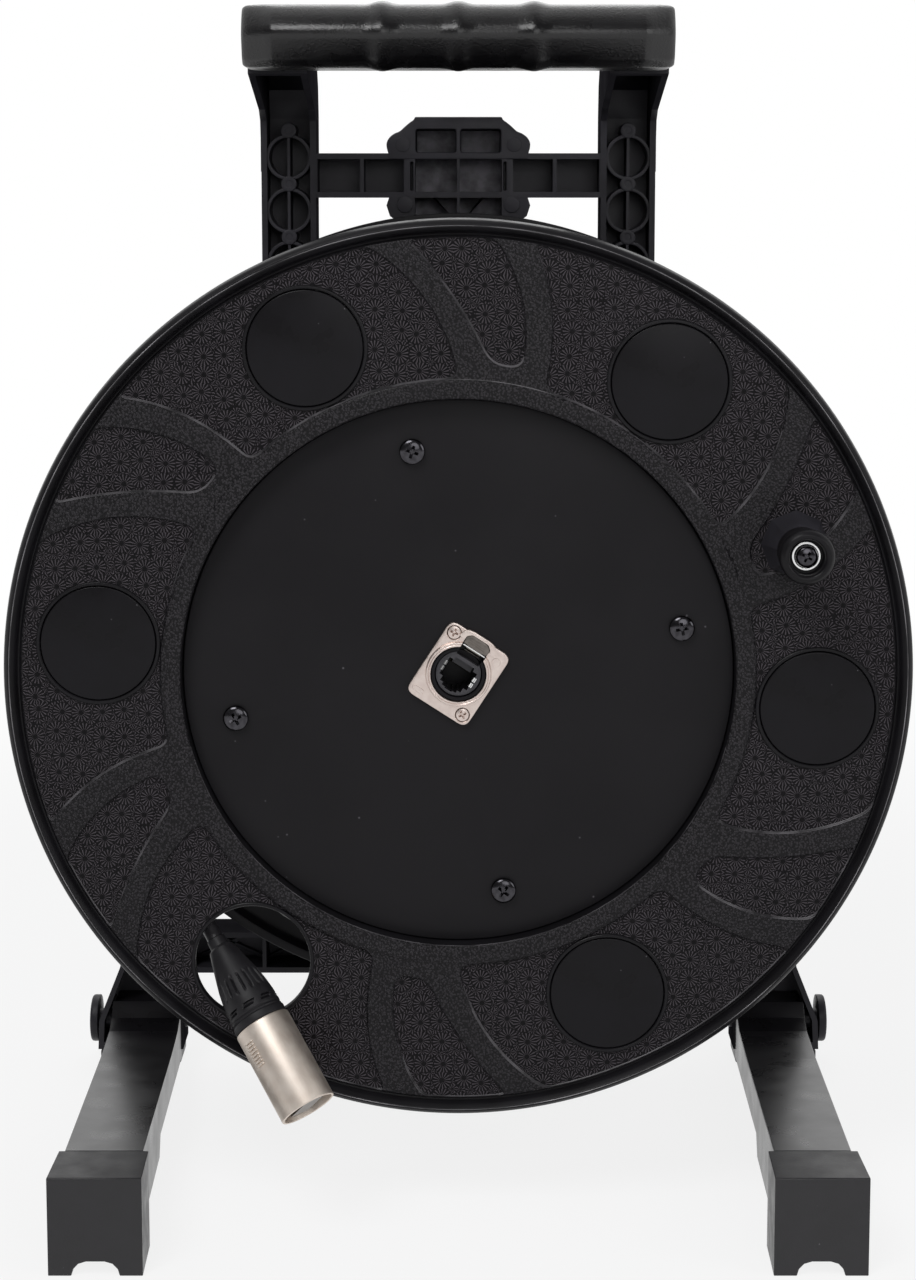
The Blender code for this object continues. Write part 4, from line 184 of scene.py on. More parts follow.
# The rim's parting line is painted pale in patches: a painted highlight for the thin bright line along the crest.
crestHighlightPolypropylene = makeMaterial("parting_line_painted_highlight", {
    "colour": "#2a292b", "mottle": "#8d8b8e", "mottleMm": 26, "rough": 0.35, "spread": 0.05, "grainMm": 1.0,
    "grainDeep": 0.02, "specular": 0.5})
# The pockets' upward-facing edges are painted paler: a painted highlight where they catch the light from above.
litEdgePolypropylene = makeMaterial("painted_highlight_edge_polypropylene", {
    "colour": "#2a292b", "mottle": "#5a585b", "mottleMm": 9, "rough": 0.36, "spread": 0.05, "grainMm": 1.0,
    "grainDeep": 0.02, "specular": 0.3})
# Centre panel: sheet with matt paint, near black, with a little dust.
mattPaint = makeMaterial("matt_black_paint", {
    "colour": "#1c1b1d", "mottle": "#1f1e20", "mottleMm": 40, "rough": 0.38, "spread": 0.05, "grainMm": 0.5,
    "grainDeep": 0.012, "specular": 0.1, "dust": 0.5, "dustMm": 11})
# Hole plugs, the socket's housing and the legs' hips: flat moulded ABS, smooth but without a clear reflection.
discPlastic = makeMaterial("smooth_abs", {
    "colour": "#151416", "mottle": "#18171a", "mottleMm": 14, "rough": 0.3, "spread": 0.05, "grainMm": 1.5,
    "grainDeep": 0.01, "specular": 0.12, "dust": 0.7, "dustMm": 8})
# Back frame, knobs and bolt caps: ABS from a plain tool, with faint flow marks that show as lighter clouds.
frameAbs = makeMaterial("moulded_abs", {
    "colour": "#252428", "mottle": "#2e2d32", "mottleMm": 16, "rough": 0.4, "spread": 0.07, "grainMm": 0.8,
    "grainDeep": 0.03, "specular": 0.2})
# The legs are the same plastic from a polished tool, so their sloping tops mirror the bright floor and the dark drum.
polishedAbs = makeMaterial("polished_abs", {
    "colour": "#121114", "mottle": "#161518", "mottleMm": 16, "rough": 0.3, "spread": 0.05, "grainMm": 0.8,
    "grainDeep": 0.001, "specular": 0.95})
# The frame's side walls are left dull by the tool.
wallAbs = makeMaterial("dull_abs", {
    "colour": "#2b2a2e", "mottle": "#333236", "mottleMm": 16, "rough": 0.75, "spread": 0.05, "grainMm": 0.8,
    "grainDeep": 0.03, "specular": 0.0})
# The webs behind the ribs are painted much lighter than the frame: painted fill light for the light reaching into the
# cells, with dust and pale streaks, most of it on the middle ones.
dustyLitWebAbs = makeMaterial("dusty_abs_painted_fill_light", {
    "colour": "#3a393e", "mottle": "#454348", "mottleMm": 12, "rough": 0.5, "spread": 0.08, "grainMm": 0.8,
    "grainDeep": 0.03, "specular": 0.3})
streakedLitWebAbs = makeMaterial("streaked_abs_painted_fill_light", {
    "colour": "#4f4d53", "mottle": "#838087", "mottleMm": 6, "rough": 0.5, "spread": 0.08, "grainMm": 0.8,
    "grainDeep": 0.03, "specular": 0.3})
# Handle: the same family of plastic with a coarser spark finish, so its highlights break up into points.
gripAbs = makeMaterial("spark_finish_abs", {
    "colour": "#0c0b0d", "mottle": "#100f11", "mottleMm": 10, "rough": 0.28, "spread": 0.05, "grainMm": 0.8,
    "grainDeep": 0.13, "specular": 0.48})
# Feet and brake shoe: moulded rubber, satin, with dust on it.
footRubber = makeMaterial("moulded_rubber", {
    "colour": "#1b1a1d", "mottle": "#212023", "mottleMm": 8, "rough": 0.38, "spread": 0.08, "grainMm": 0.6,
    "grainDeep": 0.03, "specular": 0.48, "dust": 0.5, "dustMm": 7})
# Cable jacket: soft black PVC, satin.
jacketPvc = makeMaterial("pvc_jacket", {
    "colour": "#1a191c", "mottle": "#211f23", "mottleMm": 6, "rough": 0.4, "spread": 0.08, "grainMm": 0.7,
    "grainDeep": 0.02, "specular": 0.5})
# Plug boot and collar: fine matt nylon.
bootNylon = makeMaterial("matt_nylon", {
    "colour": "#171619", "mottle": "#1c1b1e", "mottleMm": 5, "rough": 0.5, "spread": 0.05, "grainMm": 0.35,
    "grainDeep": 0.015, "specular": 0.3})
# Socket insert: dark grey PBT.
insertPbt = makeMaterial("grey_pbt", {
    "colour": "#38373b", "mottle": "#3f3e42", "mottleMm": 4, "rough": 0.46, "spread": 0.05, "grainMm": 0.4,
    "grainDeep": 0.01, "specular": 0.4})
# Socket plate and its screws: zinc die casting under satin nickel, warm grey, a little pitted.
satinNickel = makeMaterial("satin_nickel", {
    "colour": "#d2c3bc", "mottle": "#dfd2cb", "mottleMm": 3, "rough": 0.36, "spread": 0.07, "grainMm": 0.45,
    "grainDeep": 0.02, "metallic": 1.0})
# Plug shell: turned and bead blasted before its nickel, so it sparkles slightly.
blastedNickel = makeMaterial("blasted_nickel", {
    "colour": "#d8ccc1", "mottle": "#e0d6cc", "mottleMm": 5, "rough": 0.5, "spread": 0.03, "grainMm": 0.5,
    "grainDeep": 0.02, "metallic": 1.0})
# Latch tab and the plug's insert: tumbled steel, darker than the plate.
tumbledSteel = makeMaterial("tumbled_steel", {
    "colour": "#6d6762", "mottle": "#7b7570", "mottleMm": 2, "rough": 0.34, "spread": 0.05, "grainMm": 0.4,
    "grainDeep": 0.01, "metallic": 1.0})
# Screws: blackened steel, glossy where the oil stays.
blackSteel = makeMaterial("blackened_steel", {
    "colour": "#39383b", "mottle": "#4b4a4e", "mottleMm": 2, "rough": 0.18, "spread": 0.05, "grainMm": 0.5,
    "grainDeep": 0.008, "metallic": 1.0})
# Axle and hidden fasteners: zinc plated steel with a bluish cast.
zincSteel = makeMaterial("zinc_plated_steel", {
    "colour": "#b4b5b9", "mottle": "#c3c4c8", "mottleMm": 4, "rough": 0.3, "spread": 0.08, "grainMm": 0.5,
    "grainDeep": 0.012, "metallic": 1.0})
# Knob's washer, latch bar and shield springs: bright stainless steel. Contacts: gold plate, smooth and warm.
brightSteel = makeMaterial("bright_steel", {
    "colour": "#dcdcdc", "mottle": "#e6e6e6", "mottleMm": 3, "rough": 0.16, "spread": 0.03, "grainMm": 0.5,
    "grainDeep": 0.003, "metallic": 1.0})
goldContact = makeMaterial("gold_plated_contact", {
    "colour": "#d9b667", "mottle": "#e2c27a", "mottleMm": 2, "rough": 0.22, "spread": 0.04, "grainMm": 0.4,
    "grainDeep": 0.003, "metallic": 1.0})
# Hub bushes: natural nylon, milky white. Inner plug: clear polycarbonate.
naturalNylon = makeMaterial("natural_nylon", {
    "colour": "#cfcdc6", "mottle": "#d8d6d0", "mottleMm": 6, "rough": 0.45, "spread": 0.05, "grainMm": 0.5,
    "grainDeep": 0.01})
clearPolycarbonate = makeMaterial("clear_polycarbonate", {
    "colour": "#c9d2d6", "mottle": "#d3dade", "mottleMm": 6, "rough": 0.12, "spread": 0.03, "grainMm": 0.8,
    "grainDeep": 0.002, "clear": 0.8, "ior": 1.58})
print("materials made:", len(bpy.data.materials))


# Shapes. Points closer than this are merged, in metres: after carving, and in a copy of a plain solid.
carvedMerge, solidMerge = 0.000002, 0.000005


def newObject(name, data):
    made = bpy.data.objects.new(name, data)
    bpy.context.scene.collection.objects.link(made)
    return made


def meshOf(points, faces):
    made = bpy.data.meshes.new("shape")
    made.from_pydata([tuple(point) for point in points], [], faces)
    work = bmesh.new()
    work.from_mesh(made)
    bmesh.ops.recalc_face_normals(work, faces=work.faces)
    work.to_mesh(made)
    work.free()
    return made


def rounded(corners, reach, steps=3, loop=True):
    # Rounds the corners of an outline. A corner may carry its own reach as a third number, and without loop both ends
    # stay.
    made = []
    count = len(corners)
    for at, corner in enumerate(corners):
        here = Vector(corner[:2])
        if not loop and at in (0, count - 1):
            made.append(tuple(here))
            continue
        own = corner[2] if len(corner) > 2 else reach
        before = Vector(corners[at - 1][:2]) - here
        after = Vector(corners[(at + 1) % count][:2]) - here
        own = min(own, 0.45 * before.length, 0.45 * after.length)  # neighbouring corners never meet
        if own < 1e-6:
            made.append(tuple(here))
            continue
        start, end = here + before.normalized() * own, here + after.normalized() * own
        for step in range(steps + 1):
            share = step / steps
            spot = start * (1 - share) ** 2 + here * 2 * share * (1 - share) + end * share ** 2
            made.append(tuple(spot))
    return made


def turned(profile, segments=96, wave=None):
    # Turns a closed profile of (radius, y) about the Y axis. A wave changes the radius by angle.
    points, rings, faces = [], [], []
    for radius, y in profile:
        if radius < 1e-7:
            rings.append([len(points)])
            points.append((0, y, 0))
            continue
        rings.append(list(range(len(points), len(points) + segments)))
        for step in range(segments):
            angle = full * step / segments
            reach = wave(radius, y, angle) if wave else radius
            points.append((reach * math.cos(angle), y, reach * math.sin(angle)))
    for here, there in zip(rings, rings[1:] + rings[:1]):
        if len(here) == 1 and len(there) == 1:
            continue
        for step in range(segments):
            after = (step + 1) % segments
            if len(here) == 1:
                faces.append((here[0], there[step], there[after]))
            elif len(there) == 1:
                faces.append((here[step], there[0], here[after]))
            else:
                faces.append((here[step], there[step], there[after], here[after]))
    return meshOf(points, faces)


def lofted(rings):
    # Joins rings of points, each with the same count, and closes both ends.
    count = len(rings[0])
    points = [point for ring in rings for point in ring]
    faces = [tuple(range(count)), tuple(range(len(points) - 1, len(points) - count - 1, -1))]
    for level in range(len(rings) - 1):
        low, high = level * count, (level + 1) * count
        for step in range(count):
            after = (step + 1) % count
            faces.append((low + step, low + after, high + after, high + step))
    return meshOf(points, faces)


def grown(outline, distance):
    # Moves a closed outline outwards by a distance. It runs anticlockwise.
    made = []
    count = len(outline)
    for at, corner in enumerate(outline):
        here = Vector(corner)
        before = (here - Vector(outline[at - 1])).normalized()
        after = (Vector(outline[(at + 1) % count]) - here).normalized()
        side = Vector((before.y + after.y, -before.x - after.x))
        side = side.normalized() / max(side.length / 2, 0.5)
        made.append(tuple(here + side * distance))
    return made


def plate(outline, levels):
    # Stacks an (x, z) outline along Y. Each level is (how far it grows, y).
    return lofted([[(x, y, z) for x, z in grown(outline, grow)] for grow, y in levels])


def rectangle(left, low, right, high):
    return [(left, low), (right, low), (right, high), (left, high)]


def slab(low, high):
    return plate(rectangle(low[0], low[2], high[0], high[2]), [(0, low[1]), (0, high[1])])


def ringOf(x, z, radius, count, start=0.0):
    angles = [start + full * step / count for step in range(count)]
    return [(x + radius * math.cos(angle), z + radius * math.sin(angle)) for angle in angles]


def wound(outline):
    # Anticlockwise, as grown and plate need it.
    area = sum(a[0] * b[1] - b[0] * a[1] for a, b in zip(outline, outline[1:] + outline[:1]))
    return outline if area > 0 else outline[::-1]


def polar(radius, degrees):
    return radius * math.cos(math.radians(degrees)), radius * math.sin(math.radians(degrees))


def moved(mesh, matrix):
    mesh.transform(matrix)
    return mesh


def shifted(mesh, x, z):
    return moved(mesh, Matrix.Translation((x, 0, z)))


def aboutY(degrees):
    return Matrix.Rotation(math.radians(degrees), 4, "Y")


def gathered(meshes):
    work = bmesh.new()
    for mesh in meshes:
        work.from_mesh(mesh)
    made = bpy.data.meshes.new("shape")
    work.to_mesh(made)
    work.free()
    return made


def carved(mesh, tool, operation="DIFFERENCE"):
    pair = [newObject("carving", each) for each in (mesh, tool)]
    knife = pair[0].modifiers.new("knife", "BOOLEAN")
    knife.operation, knife.solver, knife.object = operation, "EXACT", pair[1]
    made = bpy.data.meshes.new_from_object(pair[0].evaluated_get(bpy.context.evaluated_depsgraph_get()))
    for each in pair:
        bpy.data.objects.remove(each)
    work = bmesh.new()
    work.from_mesh(made)
    bmesh.ops.remove_doubles(work, verts=work.verts, dist=carvedMerge)
    bmesh.ops.dissolve_degenerate(work, edges=work.edges, dist=carvedMerge)
    work.to_mesh(made)
    work.free()
    return made


def mergedCopy(node):
    # Copies a plain solid into reel coordinates, with its triangles merged into flat faces.
    work = bmesh.new()
    work.from_mesh(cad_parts[node].data)
    bmesh.ops.remove_doubles(work, verts=work.verts, dist=solidMerge)
    bmesh.ops.dissolve_limit(work, angle_limit=math.radians(1), verts=work.verts, edges=work.edges)
    made = bpy.data.meshes.new(node)
    work.to_mesh(made)
    work.free()
    return moved(made, Matrix.Translation(-reelPlace))


def addPiece(name, mesh, looks, body, stands=(), at=(0, 0, 0), turn=None, sharp=35, soft=None):
    # Puts a piece in place, lets it ride on its body and hides the plain solids that it stands for. Edges over sharp
    # degrees stay crisp, and soft rounds them by that many metres.
    piece = newObject(name, mesh)
    piece.matrix_world = Matrix.Translation(reelPlace + Vector(at)) @ (turn or Matrix())
    indexes = [face.material_index for face in mesh.polygons]
    mesh.materials.clear()
    for look in looks if isinstance(looks, (list, tuple)) else [looks]:
        mesh.materials.append(look)
    mesh.polygons.foreach_set("material_index", indexes)
    mesh.shade_smooth()
    mesh.set_sharp_from_angle(angle=math.radians(sharp))
    if soft:
        edge = piece.modifiers.new("soft_edges", "BEVEL")
        edge.width, edge.segments, edge.limit_method, edge.angle_limit = soft, 2, "ANGLE", math.radians(sharp)
        edge.harden_normals = True
    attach(piece, body)
    if stands:
        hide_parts(*stands)
    return piece


# Front flange. Radii and depths in metres, angles in degrees. rimShape gives (how far inside the rim, y, corner), and
# partingLine how far inside the rim that line starts and ends. The lips and the flare give (how far the opening grows,
# y from the level it starts at). A pocket is its two sides, its inner radius and its inner corner, and a side is its
# angle from the hole and how that drifts.
flange = {
    "radius": 0.165, "rimDepth": 0.0132, "rimWidth": 0.004, "fieldY": 0.002, "webBack": 0.0056, "field": 0.1585,
    "ringOuter": 0.1068, "ringInner": 0.1006, "ringY": 0.0014, "ringStep": 0.0009,
    "seatInner": 0.0740, "seatY": 0.0110, "seatBack": 0.0140, "spigot": 0.1036,
    "rimShape": (
        (0.0059, 0.0038, 0.0006), (0.0050, 0.0034, 0.0005), (0.0043, 0.0016, 0.0006), (0.0031, 0.0001, 0.0004),
        (0.0028, 0.0, 0.0), (0.00265, -0.00016, 0.0), (0.0025, 0.0, 0.0), (0.0021, 0.0, 0.0004),
        (0.0007, 0.0013, 0.0008), (0.0, 0.0045, 0.0012)),
    "partingLine": (0.0029, 0.0024), "segments": 288,
    "holeCircle": 0.1308, "holeRadius": 0.0211, "firstHole": 54.74, "openHole": 3, "holeSegments": 72,
    "collarWide": 0.0013, "collarY": 0.0001, "collarFoot": 0.0003,
    "holeFlare": ((0.0008, -0.0007), (0.0003, 0.0001), (0.0001, 0.0003), (0.0, 0.0006)),
    "holeBack": ((0.0, -0.0004), (0.0006, 0.0004)),
    "pocketDeep": 0.001, "pocketInner": 0.108, "pocketOuter": 0.1583, "outerCorner": 0.003,
    "pocketLip": ((0.0009, -0.0008), (0.00035, -0.00001), (0.00012, 0.00018), (0.0, 0.00045)),
    "pocketFoot": ((-0.0001, -0.0002), (-0.0003, 0.0)),
    "wide": ((-24.71, 4.53, 7.15), (18.73, 1.13, 5.54), 0.1080, 0.0048),
    "narrow": ((23.63, -1.25, 8.10), (27.90, 13.85, 0.0), 0.1138, 0.0056),
    "screwCircle": 0.0829, "screwFirst": 101.57, "screwBore": 0.0022, "screwDeep": (0.010, 0.015), "sharp": 28}
holeAngles = [flange["firstHole"] + 60 * step for step in range(6)]
screwSpots = [polar(flange["screwCircle"], flange["screwFirst"] + 90 * step) for step in range(4)]
flangeLooks = [
    leatherPolypropylene, rosettePolypropylene, polishedPolypropylene, crestHighlightPolypropylene, litEdgePolypropylene]
leatherFace, rosetteFace, polishedFace, crestHighlightFace, litEdgeFace = range(5)


def swept(radius, hole, edge):
    # A pocket's side drifts round the axle as the radius grows.
    share = (radius - flange["pocketInner"]) / (flange["pocketOuter"] - flange["pocketInner"])
    return hole + edge[0] + edge[1] * share + edge[2] * share ** 2


def bend(start, middle, end, steps):
    spots = []
    for step in range(1, steps):
        share = step / steps
        near, pull, far = (1 - share) ** 2, 2 * share * (1 - share), share ** 2
        spots.append(tuple(a * near + b * pull + c * far for a, b, c in zip(start, middle, end)))
    return spots


def pocketOutline(hole, start, end, inner, near):
    # Two swept sides between the ring and the rim, with round corners.
    outer, far = flange["pocketOuter"], flange["outerCorner"]
    radii = [inner + near + (outer - far - inner - near) * step / 14 for step in range(15)]
    first, last = [[polar(radius, swept(radius, hole, edge)) for radius in radii] for edge in (start, end)]
    ends = []
    for reach, corner, steps in ((outer, far, 14), (inner, near, 10)):
        low, high = [swept(reach, hole, edge) for edge in (start, end)]
        turn = min(math.degrees(corner / reach), (high - low) * 0.49)
        arc = [polar(reach, low + turn + (high - low - 2 * turn) * step / steps) for step in range(steps + 1)]
        ends.append((polar(reach, low), arc, polar(reach, high)))
    (lowOuter, outerArc, highOuter), (lowInner, innerArc, highInner) = ends
    outline = first + bend(first[-1], lowOuter, outerArc[0], 4) + outerArc
    outline += bend(outerArc[-1], highOuter, last[-1], 4) + last[::-1]
    outline += bend(last[0], highInner, innerArc[-1], 8) + innerArc[::-1]
    outline += bend(innerArc[0], lowInner, first[0], 8)
    return wound(outline)


def flangeProfile():
    f = flange
    rimInner = f["radius"] - f["rimWidth"]
    seat = [(f["seatInner"], f["seatY"], 0.0004), (f["ringInner"], f["seatY"], 0.0005)]
    ring = [(f["ringInner"], f["ringY"], 0.0011), (f["ringOuter"], f["ringY"], 0.0009)]
    field = [(f["ringOuter"] + f["ringStep"], f["fieldY"], 0.0008), (f["field"], f["fieldY"], 0.0006)]
    rim = [(f["radius"] - inside, y, corner) for inside, y, corner in f["rimShape"]]
    back = [(f["radius"], f["rimDepth"], 0.0007), (rimInner, f["rimDepth"], 0.0007), (rimInner, f["webBack"], 0.0015),
            (f["spigot"], f["webBack"], 0.0006), (f["spigot"], f["seatBack"], 0.0004),
            (f["seatInner"], f["seatBack"], 0.0004)]
    return rounded(seat + ring + field + rim + back, 0.0005)


def flangeLook(face, top, floor):
    # Smooth collars, the parting line with its painted highlight, smooth rim and back, rosettes, upward pocket edges
    # with a painted highlight, and leather elsewhere.
    f = flange
    x, y, z = face.center
    radius = math.hypot(x, z)
    collar = f["holeRadius"] + f["collarWide"] + 2 * f["collarFoot"]
    holes = [polar(f["holeCircle"], hole) for hole in holeAngles]
    onFront = y < floor - 0.00005
    if onFront and any(math.hypot(x - holeX, z - holeZ) < collar for holeX, holeZ in holes):
        return polishedFace
    # The parting line's band on the front takes the pale material, a painted highlight along the crest.
    if f["radius"] - f["partingLine"][0] < radius < f["radius"] - f["partingLine"][1] and y < 0:
        return crestHighlightFace
    if radius > f["field"] - 0.0002 or y > floor + 0.0003:
        return polishedFace
    if abs(y - floor) < 0.00005 and face.normal.y < -0.9:
        return rosetteFace
    # Upward-facing pocket edges get the paler material, a painted highlight.
    return litEdgeFace if onFront and y > top - 0.0001 and face.normal.z > 0.25 else leatherFace


def screwBores(deep):
    return [plate(ringOf(x, z, flange["screwBore"], 20), [(0, y) for y in deep]) for x, z in screwSpots]


def makeFrontFlange():
    f = flange
    top, floor = f["fieldY"], f["fieldY"] + f["pocketDeep"]
    levels = [(grow, top + y) for grow, y in f["pocketLip"]] + [(grow, floor + y) for grow, y in f["pocketFoot"]]
    pockets = [plate(pocketOutline(hole, *f[kind]), levels) for hole in holeAngles for kind in ("wide", "narrow")]
    mesh = carved(turned(flangeProfile(), f["segments"]), gathered(pockets))
    # The boss round each hole keeps a smooth collar that stands as high as the ribs.
    inner, outer = f["holeRadius"] - 0.001, f["holeRadius"] + f["collarWide"]
    front, foot = top + f["collarY"], floor + 0.0006
    collar = rounded([(inner, front), (outer, front, 0.0005), (outer + f["collarFoot"], foot), (inner, foot)], 0.0001)
    flare = [(grow, top + y) for grow, y in f["holeFlare"]] + [(grow, f["webBack"] + y) for grow, y in f["holeBack"]]
    collars, holes = [], []
    for hole in holeAngles:
        x, z = polar(f["holeCircle"], hole)
        collars.append(shifted(turned(collar, f["holeSegments"]), x, z))
        holes.append(plate(ringOf(x, z, f["holeRadius"], f["holeSegments"]), flare))
    mesh = carved(mesh, gathered(collars), "UNION")
    mesh = carved(mesh, gathered(holes))
    mesh = carved(mesh, gathered(screwBores(f["screwDeep"])))
    for face in mesh.polygons:
        face.material_index = flangeLook(face, top, floor)
    return addPiece("flange_front_moulded", mesh, flangeLooks, "drum", ("front_flange",), sharp=f["sharp"])


flangePiece = makeFrontFlange()
print("front flange:", len(flangePiece.data.polygons), "faces")


# Hole plugs: flat discs a little below their collars, with a fine round edge and a snap bead behind the web.
plug = {
    "radius": 0.0208, "faceY": 0.0024, "edge": 0.0005, "wall": 0.0016, "backY": 0.0075,
    "bead": ((0.0, 0.0059), (0.0009, 0.0062), (-0.0004, 0.0075))}


def makeHolePlugs():
    p = plug
    inner, ceiling = p["radius"] - p["wall"], p["faceY"] + p["wall"]
    profile = [(0, p["faceY"]), (p["radius"], p["faceY"], p["edge"])] + [(p["radius"] + out, y) for out, y in p["bead"]]
    profile = rounded(profile + [(inner, p["backY"]), (inner, ceiling), (0, ceiling)], 0.0002, loop=False)
    closed = [hole for at, hole in enumerate(holeAngles) if at != flange["openHole"]]
    for number, hole in enumerate(closed, 1):
        x, z = polar(flange["holeCircle"], hole)
        shape = turned(profile, flange["holeSegments"])
        addPiece(f"plug_disc_{number}", shape, discPlastic, "drum", (f"hole_plug_{number}",), (x, 0, z))


makeHolePlugs()


# Rear flange, with the same rim, a plain web, and raised rings outside and round the hub. A locating wall inside.
rear = {
    "rimFront": 0.140, "rimBack": 0.1532, "webFront": 0.1476, "webBack": 0.1512,
    "hubOuter": 0.01800, "hubBore": 0.0124, "hubFront": 0.086, "wall": (0.0971, 0.1001), "wallHigh": 0.006,
    "ringHigh": 0.0006, "ringEdge": 0.0009, "hubRing": (0.0272, 0.0332), "hubRingEdge": 0.0008,
    "rimShape": ((0.0, -0.0045, 0.0012), (0.0007, -0.0013, 0.0008), (0.0021, 0.0, 0.0006), (0.0031, -0.0001, 0.0008),
                 (0.0045, -0.0022, 0.0005), (0.0057, -0.0032, 0.0005)), "segments": 240}


def makeRearFlange():
    f, r = flange, rear
    rimInner, step, web = f["radius"] - f["rimWidth"], r["webBack"] + r["ringHigh"], r["webBack"]
    wallInner, wallOuter = r["wall"]
    ringInner, ringOuter = r["hubRing"]
    hub = [(r["hubBore"], r["hubFront"]), (r["hubOuter"], r["hubFront"], 0.0006), (r["hubOuter"], r["webFront"], 0.002)]
    wall = [(wallInner, r["webFront"], 0.0003), (wallInner, r["webFront"] - r["wallHigh"]),
            (wallOuter, r["webFront"] - r["wallHigh"]), (wallOuter, r["webFront"])]
    rim = [(rimInner, r["webFront"], 0.0015), (rimInner, r["rimFront"], 0.0007), (f["radius"], r["rimFront"], 0.0007)]
    rim += [(f["radius"] - inside, r["rimBack"] + y, corner) for inside, y, corner in r["rimShape"]]
    outerRing = [
        (f["field"], web, 0.0006), (f["ringOuter"] + r["ringEdge"], web, 0.0004), (f["ringOuter"], step, 0.0006),
        (f["ringInner"], step, 0.0006), (f["ringInner"] - r["ringEdge"], web, 0.0004)]
    innerRing = [(ringOuter + r["hubRingEdge"], web, 0.0004), (ringOuter, step, 0.0005), (ringInner, step, 0.0005),
                 (ringInner - r["hubRingEdge"], web, 0.0004), (r["hubBore"], web, 0.0004)]
    mesh = turned(rounded(hub + wall + rim + outerRing + innerRing, 0.0003), r["segments"])
    for face in mesh.polygons:
        radius = math.hypot(face.center.x, face.center.z)
        face.material_index = 1 if radius > f["field"] or face.center.y < r["webFront"] + 0.0001 else 0
    looks = [leatherPolypropylene, polishedPolypropylene]
    addPiece("flange_rear_moulded", mesh, looks, "drum", ("rear_flange",), sharp=f["sharp"])


makeRearFlange()


# Centre panel, a painted disc with a rolled edge, a round opening for the socket and four screw holes.
panel = {"radius": 0.1002, "y": 0.008, "thick": 0.0027, "edge": 0.0006, "opening": 0.0104, "cut": (0.006, 0.013)}


def makePanel():
    p = panel
    back = p["y"] + p["thick"]
    profile = [(0, p["y"]), (p["radius"], p["y"], p["edge"]), (p["radius"], back, 0.0003), (0, back)]
    disc = turned(rounded(profile, 0.0003, loop=False), rear["segments"])
    opening = plate(ringOf(0, 0, p["opening"], 72), [(0, y) for y in p["cut"]])
    mesh = carved(disc, gathered([opening] + screwBores(p["cut"])))
    addPiece("panel_painted", mesh, mattPaint, "drum", ("centre_panel",), sharp=flange["sharp"])


makePanel()


# Pan-head screws with a tapered cross recess. Each has its own turn in degrees.
panelScrew = {
    "back": 0.0077, "head": 0.00465, "high": 0.0026, "shank": 0.0019, "end": 0.0187, "turns": (18, 61, 37, 80)}


def crossTool(front, deep, reach, wide):
    # Two tapered bars, the second a hair shallower so that their ends don't coincide.
    bars = []
    for turn, shallower in ((0, 0.0), (90, 0.0000314)):
        levels = [(reach + 0.0002, wide / 2 + 0.0001, front - 0.0005), (reach, wide / 2, front),
                  (reach * 0.35, wide * 0.3, front + deep - shallower)]
        rings = [[(x, y, z) for x, z in rectangle(-long, -half, long, half)] for long, half, y in levels]
        bars.append(moved(lofted(rings), aboutY(turn)))
    return carved(bars[0], bars[1], "UNION")


def panScrew(back, head, high, shank, end):
    crown = [(0, back - high)]
    for angle in (0.35, 0.65, 0.9, 1.15, 1.4):
        crown.append((head * math.sin(angle), back - high * (0.42 + 0.58 * math.cos(angle))))
    rest = [crown[-1], (head, back - high * 0.3), (head, back), (shank, back), (shank, end - 0.001), (shank * 0.5, end),
            (0, end)]
    mesh = turned(crown + rounded(rest, 0.0001, loop=False)[1:], 56)
    return carved(mesh, crossTool(back - high, high * 0.62, head * 0.56, head * 0.24))


def makePanelScrews():
    s = panelScrew
    for number, (turn, (x, z)) in enumerate(zip(s["turns"], screwSpots), 1):
        shape = panScrew(s["back"], s["head"], s["high"], s["shank"], s["end"])
        addPiece(f"panel_screw_head_{number}", shape, blackSteel, "drum", (f"panel_screw_{number}",),
                 (x, 0, z), aboutY(turn), sharp=40)


makePanelScrews()
print("panel and screws made")


# Panel socket, drawn upright and turned with the plate. Shapes are (x, z) outlines, some with their own corner, and
# levels are (how far it grows, y from the plate's front).
socket = {
    "turn": 32.9, "wide": 0.026, "high": 0.031, "corner": 0.0034, "front": 0.0061, "back": 0.0077,
    "plateLevels": ((-0.0004, 0.0), (-0.00012, 0.0001), (0.0, 0.0004)),
    "bore": 0.010165, "ring": 0.01175, "proud": 0.0012, "groove": 0.0002, "boreBack": 0.009, "cutBack": 0.0091,
    "window": ((-0.0050, 0.0060), (0.0050, 0.0060), (0.0050, 0.0136), (0.0034, 0.01495), (-0.0034, 0.01495),
               (-0.0050, 0.0136)),
    "swell": ((0.0050, 0.0122, 0.0006), (0.0076, 0.0122, 0.0010), (0.0067, 0.0155, 0.002), (0.0040, 0.0163, 0.0018)),
    "swellInside": ((0.0050, 0.0136, 0.0004), (0.0034, 0.01495, 0.0006)),
    "swellLevels": ((-0.00015, -0.0008), (-0.00004, -0.00076), (0.0, -0.0006)),
    "mark": (0.0092, 0.0110, 0.0017), "tab": (-0.0117, -0.0138, -0.0068, -0.0117),
    "markLevels": ((-0.0002, -0.00015), (0, 0.0002)),
    "screwX": 0.0095, "screwZ": 0.012, "screw": 0.0025, "shank": 0.0014, "shankEnd": 0.0157, "screwTurns": (24, 66),
    "recess": (0.0015, 0.0017, 0.0008),
    "sink": ((0, -0.002), (0.0028, -0.002), (0.0028, 0.0), (0.0026, 0.0003), (0.0017, 0.0013))}
